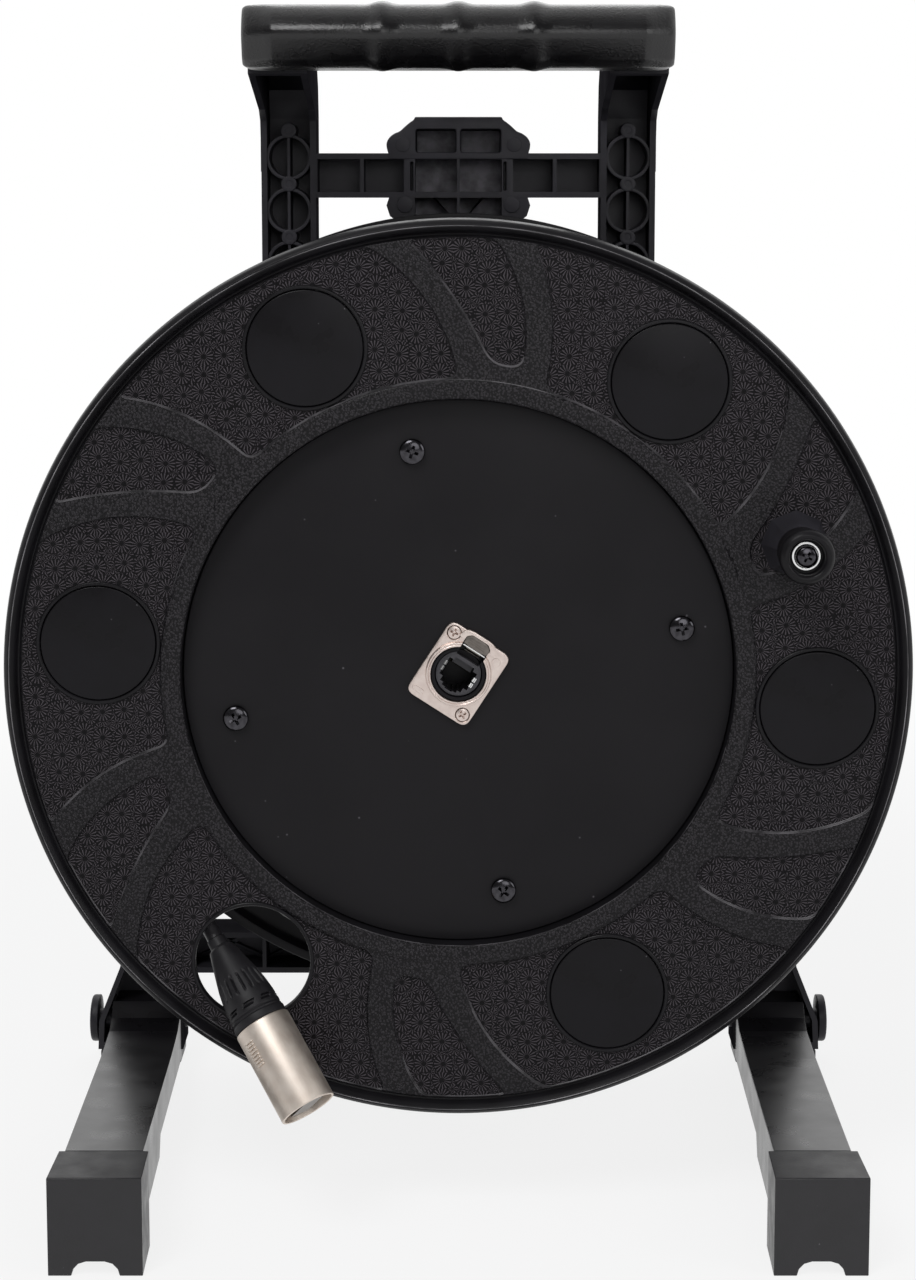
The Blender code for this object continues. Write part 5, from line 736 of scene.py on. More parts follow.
# Housing and insert. The insert's sizes along Y start at its own face.
socketBody = {
    "housing": 0.009865, "housingFront": 0.0007, "housingBack": 0.0337, "well": 0.0086, "wellBack": 0.0307,
    "notch": ((-0.0047, 0.0052), (0.0047, 0.0124)), "notchBack": 0.0105,
    "faceDeep": 0.0012, "insert": 0.0083, "insertLong": 0.017, "mouthDeep": 0.0140, "mouthReach": 0.0078,
    "mouth": ((0.0030, -0.0066), (0.0015, -0.0066), (0.0015, -0.0071)),
    "mouthSide": ((0.0030, -0.0066), (0.0030, -0.0055), (0.0044, -0.0055), (0.0044, -0.0036), (0.0059, -0.0036),
                  (0.0059, 0.0035), (0.0040, 0.0035), (0.0040, 0.0047)),
    "underLatch": ((-0.0047, -0.001, 0.0060), (0.0047, 0.0030, 0.0090)),
    "ledge": ((-0.0039, 0.0050, 0.0018), (0.0039, 0.0100, 0.0046)),
    "contacts": 8, "contactPitch": 0.00102, "contactHalf": 0.00022, "contactThick": (0.0001, 0.0004),
    "contactPath": ((0.0034, 0.0082), (0.0004, 0.0112), (0.0002, 0.0120), (0.0034, 0.0135)),
    "springLows": (-0.0020, 0.0003), "springWide": 0.0017, "springThick": 0.0007,
    "springPath": ((0.0060, -0.0004), (0.0056, -0.0006), (0.0052, -0.0001), (0.0050, 0.0022))}
# Push latch. Its sizes along Y start at the tab's front.
latch = {
    "proud": 0.0007,
    "tab": ((-0.0047, 0.0109), (0.0047, 0.0109), (0.0049, 0.0135), (0.0032, 0.0148), (-0.0032, 0.0148),
            (-0.0049, 0.0135)),
    "tabLevels": ((-0.0002, 0.0), (-0.00005, 0.00005), (0.0, 0.0002), (0.0, 0.0013)),
    "ridges": (0.0116, 0.0124, 0.0132, 0.0140), "ridgeHalf": 0.0034, "ridgeHigh": 0.0003,
    "web": ((-0.0030, 0.0005, 0.0090), (0.0030, 0.0013, 0.0112)),
    "stem": ((-0.0030, 0.0005, 0.0089), (0.0030, 0.0036, 0.0097)),
    "bar": ((-0.0046, -0.0004, 0.0102), (0.0046, 0.0010, 0.0107))}
socketTurn = aboutY(socket["turn"])


def levelsFrom(y, levels):
    return [(grow, y + deep) for grow, deep in levels]


def slabFrom(y, corners):
    (left, front, low), (right, back, high) = corners
    return slab((left, y + front, low), (right, y + back, high))


def makeSocketPlate():
    s = socket
    w, h = s["wide"] / 2, s["high"] / 2
    front, back, ringFront = s["front"], s["back"], s["front"] - s["proud"]
    outline = rounded(rectangle(-w, -h, w, h), s["corner"], 8)
    base = plate(outline, levelsFrom(front, s["plateLevels"]) + [(0.0, back)])
    base = carved(base, plate(ringOf(0, 0, s["bore"] + 0.0002, 96), [(0, front - 0.001), (0, s["boreBack"])]))
    # The raised ring has a fine groove round its face.
    middle, groove = (s["ring"] + s["bore"]) / 2, s["groove"]
    ring = turned(rounded([
        (s["bore"], back - 0.0002), (s["bore"], ringFront, 0.0005), (middle - groove, ringFront),
        (middle, ringFront + groove), (middle + groove, ringFront), (s["ring"], ringFront, 0.0004),
        (s["ring"] + 0.0003, front + 0.0001), (s["ring"], back - 0.0002)], 0.00005), 96)
    window = plate(rounded(s["window"], 0.0006, 4), [(0.0, front - 0.003), (0.0, s["cutBack"])])
    base, ring = [carved(part, window) for part in (base, ring)]
    sink = [(radius, front + y) for radius, y in s["sink"]]
    sink += [(s["sink"][-1][0], s["boreBack"]), (0, s["boreBack"])]
    sinks = [shifted(turned(sink, 40), side * s["screwX"], -side * s["screwZ"]) for side in (-1, 1)]
    base = carved(base, gathered(sinks))
    # The plate swells round the latch and past its own top edge.
    half, inside = list(s["swell"]), list(s["swellInside"])
    swell = [(-x, z, reach) for x, z, reach in half[:1] + inside] + inside[::-1] + half
    swell = rounded(swell + [(-x, z, reach) for x, z, reach in half[:0:-1]], 0.0004, 5)
    swell = plate(swell, levelsFrom(front, s["swellLevels"]) + [(0.0, back - 0.0002)])
    # Blind marks in the other two corners: a shallow disc and a long tab, 0.15 mm proud.
    outlines = (ringOf(*s["mark"], 28), rounded(rectangle(*s["tab"]), 0.0009, 4))
    marks = [plate(each, levelsFrom(front, s["markLevels"])) for each in outlines]
    addPiece("socket_plate_cast", gathered([base, ring, swell] + marks), satinNickel, "drum", ("socket_plate",),
             turn=socketTurn, sharp=30)


def makeSocketHousing(front):
    b = socketBody
    profile = [(0, b["housingBack"]), (b["housing"], b["housingBack"], 0.0003), (b["housing"], front, 0.0003),
               (b["well"], front, 0.0003), (b["well"], b["wellBack"]), (0, b["wellBack"])]
    (left, low), (right, high) = b["notch"]
    notch = slab((left, front - 0.001, low), (right, b["notchBack"], high))
    housing = carved(turned(rounded(profile, 0.0001, loop=False), 96), notch)
    addPiece("socket_housing_moulded", housing, discPlastic, "drum", ("socket_housing",), turn=socketTurn,
             sharp=30)


def makeSocketInsert(face):
    # The stepped mouth, a ledge across its upper half, and a notch under the latch.
    b = socketBody
    end = face + b["insertLong"]
    profile = rounded([(0, face), (b["insert"], face, 0.0003), (b["insert"], end), (0, end)], 0.0001, loop=False)
    key, side = list(b["mouth"]), list(b["mouthSide"])
    mouth = [(-x, z) for x, z in key] + key[:0:-1] + side + [(-x, z) for x, z in side[:0:-1]]
    body = carved(turned(profile, 96), plate(mouth, [(0, face - 0.001), (0, face + b["mouthDeep"])]))
    body = carved(body, slabFrom(face, b["underLatch"]))
    # Faces deep in the mouth take the near-black smooth ABS: painted shade inside the recess.
    for each in body.polygons:
        shadedMouth = each.center.y > face + 0.0005 and math.hypot(each.center.x, each.center.z) < b["mouthReach"]
        each.material_index = 1 if shadedMouth else 0
    addPiece("socket_insert_moulded", gathered([body, slabFrom(face, b["ledge"])]), [insertPbt, discPlastic], "drum",
             ("socket_insert",), turn=socketTurn, sharp=30)


def makeSocketSprings(face):
    # Eight contact springs slope down inside the mouth, and shield springs press in from both sides.
    b = socketBody
    half, (thickY, thickZ) = b["contactHalf"], b["contactThick"]
    wires = []
    for number in range(b["contacts"]):
        x = (number - (b["contacts"] - 1) / 2) * b["contactPitch"]
        left, right = x - half, x + half
        path = [(face + deep, z) for z, deep in b["contactPath"]]
        wires.append(lofted([[(left, y, z), (right, y, z), (right, y + thickY, z + thickZ),
                              (left, y + thickY, z + thickZ)] for y, z in path]))
    addPiece("socket_contacts", gathered(wires), goldContact, "drum", turn=socketTurn)
    shields = []
    for side in (-1, 1):
        for low in b["springLows"]:
            high, path = low + b["springWide"], [(x, face + deep) for x, deep in b["springPath"]]
            shields.append(lofted([[
                (side * x, y, low), (side * x, y, high), (side * (x + b["springThick"]), y, high),
                (side * (x + b["springThick"]), y, low)] for x, y in path]))
    addPiece("socket_shield_springs", gathered(shields), brightSteel, "drum", turn=socketTurn)


def makeLatch():
    # A flush steel tab with plain ridges for the thumb, and a bright bar under it over the notch.
    front = socket["front"] - latch["proud"]
    half, high = latch["ridgeHalf"], latch["ridgeHigh"]
    tab = plate(rounded(latch["tab"], 0.0006, 4), levelsFrom(front, latch["tabLevels"]))
    arms = [slabFrom(front, latch[kind]) for kind in ("web", "stem")]
    ridges = [slab((-half, front - high, z), (half, front + high, z + high)) for z in latch["ridges"]]
    addPiece("socket_latch_tab", gathered([tab] + arms + ridges), tumbledSteel, "latch", ("socket_latch",),
             turn=socketTurn, sharp=30)
    addPiece("socket_latch_bar", slabFrom(front, latch["bar"]), brightSteel, "latch", turn=socketTurn, soft=0.0001)


def makeSocketScrews():
    s = socket
    front, shank, end = s["front"], s["shank"], s["shankEnd"]
    profile = [
        (0, front - 0.0001), (s["screw"], front + 0.0002, 0.0004), (shank, front + 0.0013), (shank, end - 0.0005),
        (shank / 2, end), (0, end)]
    for number, (side, turn) in enumerate(zip((-1, 1), s["screwTurns"]), 1):
        shape = turned(rounded(profile, 0.0001, loop=False), 48)
        shape = carved(shape, crossTool(front - 0.0001, *s["recess"]))
        x, _, z = socketTurn @ Vector((side * s["screwX"], 0, -side * s["screwZ"]))
        addPiece(f"socket_screw_head_{number}", shape, satinNickel, "drum", (f"socket_screw_{number}",),
                 (x, 0, z), aboutY(turn), sharp=35)


housingFront = socket["front"] - socket["proud"] + socketBody["housingFront"]
insertFace = housingFront + socketBody["faceDeep"]
makeSocketPlate()
makeSocketHousing(housingFront)
makeSocketInsert(insertFace)
makeSocketSprings(insertFace)
makeLatch()
makeSocketScrews()
print("socket made")


# Crank knob: faceted foot, spinning grip with a flared end, washer ring and cross screw in its well. The washer's
# corners are (radius, y from the well's floor, corner), and the screw is (head, height, shank, end).
knob = {
    "place": (0.12116, 0, 0.04821), "turn": -21.7, "seatY": 0.0031, "footHigh": 0.0146, "footWide": 0.0125,
    "footTop": 0.0080, "footBore": 0.0028, "radius": 0.0097, "waist": 0.0088, "backGap": 0.0006, "length": 0.0182,
    "well": 0.0062, "wellDeep": 0.0060, "bore": 0.0042,
    "washer": ((0.0028, -0.0009), (0.0041, -0.0009, 0.0001), (0.0042, -0.0013, 0.0002), (0.0052, -0.0013, 0.0003),
               (0.0052, -0.0003), (0.0028, -0.0003)),
    "screwBack": 0.0014, "screw": (0.0038, 0.0022, 0.0024, 0.0114), "screwTurn": 28.6479}
knobAxis = aboutY(knob["turn"])


def makeKnob():
    k = knob
    seat, place, waist, outer, well, bore = k["seatY"], k["place"], k["waist"], k["radius"], k["well"], k["bore"]
    top = seat - k["footHigh"]
    octagon = ringOf(0, 0, k["footWide"], 8, math.pi / 8)
    levels = [(1.0, seat), (0.985, seat - 0.0006), (k["footTop"] / k["footWide"], top)]
    foot = lofted([[(x * share, y, z * share) for x, z in octagon] for share, y in levels])
    foot = carved(foot, plate(ringOf(0, 0, k["footBore"], 24), [(0, top - 0.001), (0, seat + 0.001)]))
    addPiece("knob_foot", foot, frameAbs, "drum", ("knob_base",), place, knobAxis, sharp=20, soft=0.0004)
    # The grip's back face carries the crank's low collar.
    back = top - k["backGap"]
    front = back - k["length"]
    floor = front + k["wellDeep"]
    profile = rounded([
        (bore, back), (k["footTop"], back, 0.0005), (waist, back - 0.0017, 0.0010),
        (waist - 0.0003, back - 0.0060, 0.0020), (waist, front + 0.0080, 0.0020), (outer, front + 0.0052, 0.0015),
        (outer, front + 0.0016, 0.0012), (outer - 0.0016, front, 0.0012), (well + 0.0005, front + 0.0003, 0.0008),
        (well, front + 0.0018, 0.0008), (well, floor, 0.0004), (bore, floor)], 0.0003, 5)
    addPiece("knob_grip_turned", turned(profile), polishedPolypropylene, "knob", ("knob_grip",), place,
             knobAxis, sharp=40)
    washer = rounded([(corner[0], floor + corner[1], *corner[2:]) for corner in k["washer"]], 0.0001)
    addPiece("knob_washer_ring", turned(washer, 64), brightSteel, "drum", ("knob_washer",), place, knobAxis,
             sharp=40)
    addPiece("knob_screw_head", panScrew(floor - k["screwBack"], *k["screw"]), blackSteel, "drum", ("knob_screw",),
             place, aboutY(k["screwTurn"]), sharp=40)


makeKnob()
print("knob made")


# Cable: 18 outer turns on the drum, a bedded layer under them, and the end that comes out of the open hole.
cable = {
    "radius": 0.0031, "turns": 18, "turnSteps": 64, "pitch": 0.007, "drumRadius": 0.1116, "firstY": 0.0125,
    "startDegrees": 190.0, "start": (-0.109433, 0.0125, -0.023663), "way": (0.173648, 0.0, -0.984808),
    "straight": 0.004, "pull": (0.036, 0.026), "points": 12}
underLayer = {
    "inner": 0.1039, "outer": 0.1073, "front": 0.0059, "back": 0.1473, "crest": 0.0013, "end": 0.0008,
    "shares": (0.02, 0.15, 0.32, 0.5, 0.68, 0.85)}
cableStart, cableWay = Vector(cable["start"]), Vector(cable["way"])
# Where the plug's boot starts and where its shell ends.
plugNeck, plugTip = Vector((-0.0895, 0.0080, -0.1001)), Vector((-0.0537, -0.0250, -0.1521))
plugAxis = (plugTip - plugNeck).normalized()
plugTurn = Vector((0, 1, 0)).rotation_difference(plugAxis).to_matrix().to_4x4()


def tubeOf(points, radius, sides):
    # Sweeps a circle along points, carrying the frame on without twist, and closes both ends.
    ways = [(after - before).normalized() for before, after in zip(points[:1] + points[:-1], points[1:] + points[-1:])]
    side = ways[0].orthogonal().normalized()
    made = []
    for point, way in zip(points, ways):
        side = (side - way * side.dot(way)).normalized()
        up = way.cross(side)
        for step in range(sides):
            angle = full * step / sides
            made.append(point + (side * math.cos(angle) + up * math.sin(angle)) * radius)
    return lofted([made[at:at + sides] for at in range(0, len(made), sides)])


def routed(start, startWay, startPull, end, endWay, endPull, count):
    # A curve that leaves and arrives straight for a few millimetres.
    near, far = start + startWay * cable["straight"], end - endWay * cable["straight"]
    nearPull, farPull = near + startWay * startPull, far - endWay * endPull
    points = [start]
    for step in range(count + 1):
        share = step / count
        rest = 1 - share
        points.append(near * rest ** 3 + nearPull * 3 * rest ** 2 * share + farPull * 3 * rest * share ** 2
                      + far * share ** 3)
    return points + [end]


def smoothed(points):
    # Four steps from point to point along a curve through them all.
    fine = []
    for before, here, there, after in zip(points[:1] + points[:-2], points[:-1], points[1:], points[2:] + points[-1:]):
        for step in range(4):
            t = step / 4
            fine.append(0.5 * (2 * here + (there - before) * t + (2 * before - 5 * here + 4 * there - after) * t ** 2
                               + (3 * here - before - 3 * there + after) * t ** 3))
    return fine + [points[-1]]


def makeWinding():
    c = cable
    route = [cableStart - cableWay * 0.0003, cableStart - cableWay * 0.002]
    for step in range(c["turns"] * c["turnSteps"] + 1):
        turn = step / c["turnSteps"]
        x, z = polar(c["drumRadius"], c["startDegrees"] - 360 * turn)
        route.append(Vector((x, c["firstY"] + c["pitch"] * turn, z)))
    addPiece("cable_outer_turns", tubeOf(route, c["radius"], 14), jacketPvc, "drum", ("cable_winding",),
             sharp=60)


def makeUnderLayer():
    u = underLayer
    wide = u["back"] - u["front"]
    crests = int(wide / (2 * cable["radius"]))
    profile = [(u["inner"], u["back"]), (u["inner"], u["front"])]
    for crest in range(crests):
        for share in u["shares"]:
            dip = u["crest"] * (1 - math.sqrt(max(1 - (2 * share - 1) ** 2, 0.0)))
            profile.append((u["outer"] - dip, u["front"] + wide * (crest + share) / crests))
    profile.append((u["outer"] - u["end"], u["back"]))
    addPiece("cable_under_layer", turned(profile, 120), jacketPvc, "drum", ("cable_core",), sharp=60)


makeWinding()
makeUnderLayer()
print("winding made")


# The cable plug, measured along its own axis from the neck of its boot. bootShape gives (share of the length, share of
# the swell). Bands give the shares of the length or of the wave between which something starts or ends.
cablePlug = {
    "boot": 0.033, "bootSteps": 110, "neck": 0.0035, "bootEnd": 0.00983,
    "bootShape": ((0, 0), (0.1, 0.01), (0.115, 0.13), (0.13, 0.2), (0.22, 0.33), (0.34, 0.49), (0.46, 0.65),
                  (0.56, 0.78), (0.68, 0.89), (0.8, 0.965), (0.92, 1), (0.985, 1), (1, 0.97)),
    "flutes": 20, "fluteDeep": 0.0009, "fluteFrom": (0.48, 0.56), "fluteTo": (0.68, 0.76), "valley": (0.35, 0.95),
    "slots": 8, "slotDeep": 0.0009, "slotAt": 0.885, "slotLean": 0.16, "slotBend": 14, "slotEdge": (-0.35, 0.0),
    "slotReach": (0.022, 0.030), "slotBar": (0.004, 0.009),
    "grooveAt": 0.965, "grooveReach": (0.006, 0.012), "grooveDeep": 0.0004,
    "collarFrom": 0.0333, "collarLong": 0.0026, "collar": 0.01013,
    "shellFrom": 0.0362, "shell": 0.01043, "shellWall": 0.0009, "shellBore": 0.0049, "shellFloor": 0.0020,
    "length": 0.0712, "ribs": 8, "ribLong": 0.0044, "ribFirst": 0.0052, "ribPitch": 0.0013,
    "ribSide": (-0.48, -0.86, -0.14), "ribSteps": 12,
    "ribShape": ((-0.0002, -0.00036), (0.0007, -0.00022), (0.0007, 0.00022), (-0.0002, 0.00036))}


def stepUp(value, low, high):
    share = min(max((value - low) / (high - low), 0.0), 1.0)
    return share * share * (3 - 2 * share)


def bootSwell(share):
    shape = cablePlug["bootShape"]
    for (a, low), (b, high) in zip(shape, shape[1:]):
        if share <= b + 1e-9:
            return low + (high - low) * (share - a) / (b - a)


def bootRadius(radius, y, angle):
    # Flutes in the middle, then S-shaped slots in the band near the shell, and a fine groove behind them.
    p = cablePlug
    share = y / p["boot"]
    flute = stepUp(share, *p["fluteFrom"]) * (1 - stepUp(share, *p["fluteTo"]))
    flute *= stepUp(math.cos(p["flutes"] * angle), *p["valley"])
    past = share - p["slotAt"]
    lean = p["slotLean"] * math.tanh(p["slotBend"] * past)
    slot = stepUp(math.cos(p["slots"] * (angle + lean)), *p["slotEdge"]) * (1 - stepUp(abs(past), *p["slotReach"]))
    slot *= stepUp(abs(past), *p["slotBar"])
    groove = 1 - stepUp(abs(share - p["grooveAt"]), *p["grooveReach"])
    return radius - p["fluteDeep"] * flute - p["slotDeep"] * slot - p["grooveDeep"] * groove


def addPlugPiece(name, mesh, look, node, sharp):
    return addPiece(name, mesh, look, "drum", (node,), plugNeck, plugTurn, sharp=sharp)


def makeBoot():
    p = cablePlug
    shares = [step / p["bootSteps"] for step in range(p["bootSteps"] + 1)]
    profile = [(p["neck"] + (p["bootEnd"] - p["neck"]) * bootSwell(share), share * p["boot"]) for share in shares]
    mesh = turned([(0.0, 0.0)] + profile + [(0.0, p["boot"])], 192, bootRadius)
    return addPlugPiece("plug_boot_moulded", mesh, bootNylon, "plug_boot", 50)


def makeCollar():
    # A plain black band between boot and shell, let into both by 0.2 mm.
    p = cablePlug
    start, end = p["collarFrom"] - 0.0002, p["collarFrom"] + p["collarLong"] + 0.0002
    corners = [(0, start), (p["collar"], start, 0.0005), (p["collar"], end, 0.0004), (0, end)]
    return addPlugPiece("plug_collar_band", turned(rounded(corners, 0.0002, loop=False)), bootNylon, "plug_collar",
                        50)


def makeShell():
    # A turned shell, open at its front, with a row of grip ribs along one side that taper at their ends.
    p = cablePlug
    inner, start, floor = p["shell"] - p["shellWall"], p["shellFrom"], p["shellFrom"] + p["shellFloor"]
    profile = rounded([
        (p["shellBore"], start), (p["shell"], start, 0.0006), (p["shell"], p["length"], 0.0005),
        (inner, p["length"], 0.0003), (inner, floor), (p["shellBore"], floor)], 0.0001)
    pieces = [turned(profile, 128)]
    left = plugTurn.to_3x3().inverted() @ Vector(p["ribSide"])
    middle, half = math.atan2(left.z, left.x), p["ribLong"] / p["shell"] / 2
    for rib in range(p["ribs"]):
        y = start + p["ribFirst"] + p["ribPitch"] * rib
        rings = []
        for step in range(p["ribSteps"] + 1):
            along = 2 * step / p["ribSteps"] - 1
            angle, taper = middle + half * along, math.sqrt(max(1 - along ** 4, 0.02))
            ring = []
            for high, across in p["ribShape"]:
                reach = p["shell"] + (high * taper if high > 0 else high)
                ring.append((reach * math.cos(angle), y + across * taper, reach * math.sin(angle)))
            rings.append(ring)
        pieces.append(lofted(rings))
    return addPlugPiece("plug_shell_turned", gathered(pieces), blastedNickel, "plug_shell", 35)


def makeTail():
    boot, collar, shell = makeBoot(), makeCollar(), makeShell()
    startPull, endPull = cable["pull"]
    route = routed(cableStart, cableWay, startPull, plugNeck - plugAxis * 0.0003, plugAxis, endPull, cable["points"])
    fine = smoothed(route)
    tail = addPiece("cable_end_jacket", tubeOf(fine, cable["radius"], 24), jacketPvc, "drum", ("cable_tail",),
                    sharp=60)


makeTail()


# Inner lead, from the plug behind the socket to the hole in the barrel under the winding.
innerLead = {"startY": 0.0483, "holeY": 0.030, "holeDegrees": 205.0, "reach": 0.1033, "bend": 0.018, "points": 10}


def makeInnerLead():
    lead = innerLead
    x, z = polar(1.0, lead["holeDegrees"])
    outward, along = Vector((x, 0, z)), Vector((0, 1, 0))
    hole = outward * lead["reach"] + along * lead["holeY"]
    route = routed(along * lead["startY"], along, lead["bend"], hole, outward, 2 * lead["bend"], lead["points"])
    addPiece("inner_lead_jacket", tubeOf(smoothed(route), cable["radius"], 20), jacketPvc, "drum", ("inner_lead",),
             sharp=60)


makeInnerLead()
print("inner lead made")


# Back frame: the moulding itself with its edges rounded, and its head, bosses and rings drawn finer. Heights are above
# the axle. headSide gives the head's outline (x, z, corner) from its top to the ear's foot.
stand = {
    "front": 0.155, "back": 0.175, "web": 0.1725, "soft": 0.0005,
    "middle": 0.07065, "splayBelow": 0.135, "splay": 0.2186, "bosses": 4, "bossFirst": 0.199, "bossPitch": 0.0221,
    "bossRadius": 0.00325, "bossBore": 0.0013, "bossFront": 0.0007, "bossBack": 0.003,
    "ringOuter": 0.00955, "ringInner": 0.0081, "ringLower": 0.0003,
    "headCut": ((-0.0312, -0.002, 0.18961), (0.0312, 0.022, 0.2100)), "headFoot": (0.0291, 0.1870),
    "headSide": ((0.0180, 0.2046, 0.0006), (0.0186, 0.2033, 0.0005), (0.0199, 0.2025, 0.001), (0.0222, 0.2006, 0.001),
                 (0.0243, 0.1986, 0.001), (0.0266, 0.1978, 0.001), (0.0287, 0.1962, 0.001), (0.0299, 0.1941, 0.001),
                 (0.0299, 0.1921, 0.001), (0.0291, 0.1893, 0.0006)),
    "cellLow": 0.1899, "cellTop": 0.1995, "cellSide": 0.0177, "ribHalf": 0.0009,
    "grooveX": 0.0194, "grooveHalf": 0.0006, "groove": (0.1742, 0.1860), "grooveDeep": 0.004,
    "earBosses": ((0.0232, 0.1932, 0.0031), (0.0222, 0.1683, 0.0033)),
    "topBrace": ((0.0112, 0.1716), (0.0101, 0.1716), (0.0, 0.1592), (0.0, 0.1606)),
    "braceCells": ((0.0524, 0.0838), (0.0842, 0.1150)), "braceHeights": (-0.1606, -0.1464), "braceHalf": 0.0008,
    "braceHigh": 0.0030, "webFrom": 0.168, "streakedLitTo": 0.0195}
frameLooks = [frameAbs, streakedLitWebAbs, dustyLitWebAbs, wallAbs]


def cellCut(left, low, right, high, deep, corner=0.0012):
    # A moulded cell: round corners, a soft lip and a little draft.
    front = stand["front"]
    lip = [(0.0006, front - 0.0006), (0.0003, front), (0.0001, front + 0.0002), (0.0, front + 0.0006)]
    return plate(rounded(rectangle(left, low, right, high), corner, 4), lip + [(-0.0003, deep)])


def memberMiddle(z):
    # The uprights' middle, which splays outwards below the bend.
    return stand["middle"] + stand["splay"] * max(stand["splayBelow"] - z, 0.0)


def makeHead():
    # The head with its two lobed ears and the two cells in it.
    s = stand
    front, back, soft = s["front"] - 0.00002, s["back"] - 0.00002, s["soft"]
    side, (footX, footZ) = list(s["headSide"]), s["headFoot"]
    outline = [(footX, footZ)] + side[::-1] + [(-x, z, reach) for x, z, reach in side] + [(-footX, footZ)]
    levels = [(-soft, front), (-0.3 * soft, front + 0.3 * soft), (0.0, front + soft), (0.0, back)]
    head = plate(rounded(outline, 0.0005), levels)
    middle, half = (s["cellSide"] + s["ribHalf"]) / 2, (s["cellSide"] - s["ribHalf"]) / 2
    cells = [cellCut(x - half, s["cellLow"], x + half, s["cellTop"], s["web"]) for x in (-middle, middle)]
    return carved(head, gathered(cells))


def makeEarBoss(x, z, reach):
    front = stand["front"]
    corners = [
        (0, front - 0.0002), (reach, front - 0.0002, 0.0002), (reach + 0.0002, front + 0.001), (0, front + 0.001)]
    return shifted(turned(rounded(corners, 0.0001, loop=False), 40), x, z)


def makeBraces(hand):
    # Two thin braces meet on the middle rib under the crossbar. Low crossed ones stiffen the web in the cells of the
    # lower crossbar.
    s = stand
    top = [(hand * x, z) for x, z in s["topBrace"]]
    made = [plate(wound(top), [(0, s["front"] + s["braceHigh"]), (0, s["web"])])]
    for near, far in s["braceCells"]:
        for low, high in (s["braceHeights"], s["braceHeights"][::-1]):
            start, end = Vector((hand * near, low)), Vector((hand * far, high))
            across = (end - start).orthogonal().normalized() * s["braceHalf"]
            brace = [tuple(spot) for spot in (start - across, end - across, end + across, start + across)]
            made.append(plate(wound(brace), [(0, s["web"] - s["braceHigh"]), (0, s["web"] + 0.0002)]))
    return made


def makeBossesAndRings():
    # Round bosses up both uprights, and a ring between each two.
    s = stand
    front, back = s["front"] + s["bossFront"], s["back"] - s["bossBack"]
    ringFront = front + s["ringLower"]
    boss = rounded([(s["bossBore"], front), (s["bossRadius"], front, 0.0004), (s["bossRadius"], back),
                    (s["bossBore"], back)], 0.0003)
    ring = rounded([(s["ringInner"], ringFront), (s["ringOuter"], ringFront), (s["ringOuter"], back),
                    (s["ringInner"], back)], 0.0003)
    bosses, rings = [], []
    for hand in (-1, 1):
        for number in range(s["bosses"]):
            z = s["bossFirst"] - s["bossPitch"] * number
            bosses.append(shifted(turned(boss, 40), hand * memberMiddle(z), z))
            if number < s["bosses"] - 1:
                z -= s["bossPitch"] / 2
                rings.append(shifted(turned(ring, 72), hand * memberMiddle(z), z))
    return gathered(bosses), gathered(rings)


def makeBackFrame():
    s = stand
    # The plain head comes off above the crossbar, and the drawn one goes on.
    mesh = carved(mergedCopy("back_frame"), slabFrom(s["front"], s["headCut"]))
    # A narrow groove splits the wall beside the spine's cells, level with the crossbar.
    half, (low, high), deep = s["grooveHalf"], s["groove"], s["front"] + s["grooveDeep"]
    grooves = [cellCut(x - half, low, x + half, high, deep, 0.0004) for x in (-s["grooveX"], s["grooveX"])]
    mesh = carved(mesh, gathered(grooves))
    head = makeHead()
    for part in (mesh, head):
        for face in part.polygons:
            # Front-facing web floors in the cells take the lighter materials: painted fill light, with pale streaks on
            # the middle ones.
            if face.center.y > s["webFrom"] and face.normal.y < -0.9:
                face.material_index = 1 if abs(face.center.x) < s["streakedLitTo"] else 2
            elif abs(face.normal.y) < 0.3:
                face.material_index = 3
    extras = [head]
    for hand in (-1, 1):
        extras += [makeEarBoss(hand * x, z, reach) for x, z, reach in s["earBosses"]]
        extras += makeBraces(hand)
    bosses, rings = makeBossesAndRings()
    addPiece("frame_moulded", mesh, frameLooks, "stand", ("back_frame",), sharp=25, soft=s["soft"])
    addPiece("frame_head", gathered(extras), frameLooks, "stand")
    addPiece("frame_bosses", bosses, frameAbs, "stand")
    addPiece("frame_rings", rings, frameAbs, "stand")


makeBackFrame()


# Legs and feet: their plain solids with soft edges, in metres. The hip between the frame's cheeks is dull.
legs = {"legSoft": 0.0012, "frontSoft": 0.0009, "rearSoft": 0.0008, "hipFrom": 0.132}


def refined(node, looks, soft, sharp):
    return addPiece(node + "_shape", mergedCopy(node), looks, "stand", (node,), sharp=sharp, soft=soft)


def makeLeg(hand):
    leg = refined("leg_" + hand, [polishedAbs, discPlastic], legs["legSoft"], 25)
    for face in leg.data.polygons:
        face.material_index = 1 if face.center.y > legs["hipFrom"] and face.normal.z > 0.5 else 0
    refined("foot_front_" + hand, footRubber, legs["frontSoft"], 30)
    refined("foot_rear_" + hand, footRubber, legs["rearSoft"], 30)


for hand in ("left", "right"):
    makeLeg(hand)


# Cross bolts of the legs, with round caps. Distances run along X from the middle of the reel.
legBolt = {
    "place": (0, 0.165, -0.186), "seat": 0.1568, "cap": 0.0034, "capRadius": 0.0100, "shank": 0.0040, "tip": 0.1186}


def makeLegBolts():
    b = legBolt
    seat, top, radius, shank = b["seat"], b["seat"] + b["cap"], b["capRadius"], b["shank"]
    profile = rounded([(0, top), (radius, top, 0.0013), (radius, seat, 0.0002), (shank, seat), (shank, b["tip"]),
                       (0, b["tip"])], 0.0001, loop=False)
    for side, hand in ((-1, "left"), (1, "right")):
        shape = moved(turned(profile, 64), Matrix.Rotation(-side * math.pi / 2, 4, "Z"))
        addPiece("leg_bolt_cap_" + hand, shape, frameAbs, "stand", ("leg_bolt_" + hand,), b["place"], sharp=40)


makeLegBolts()
print("stand made")


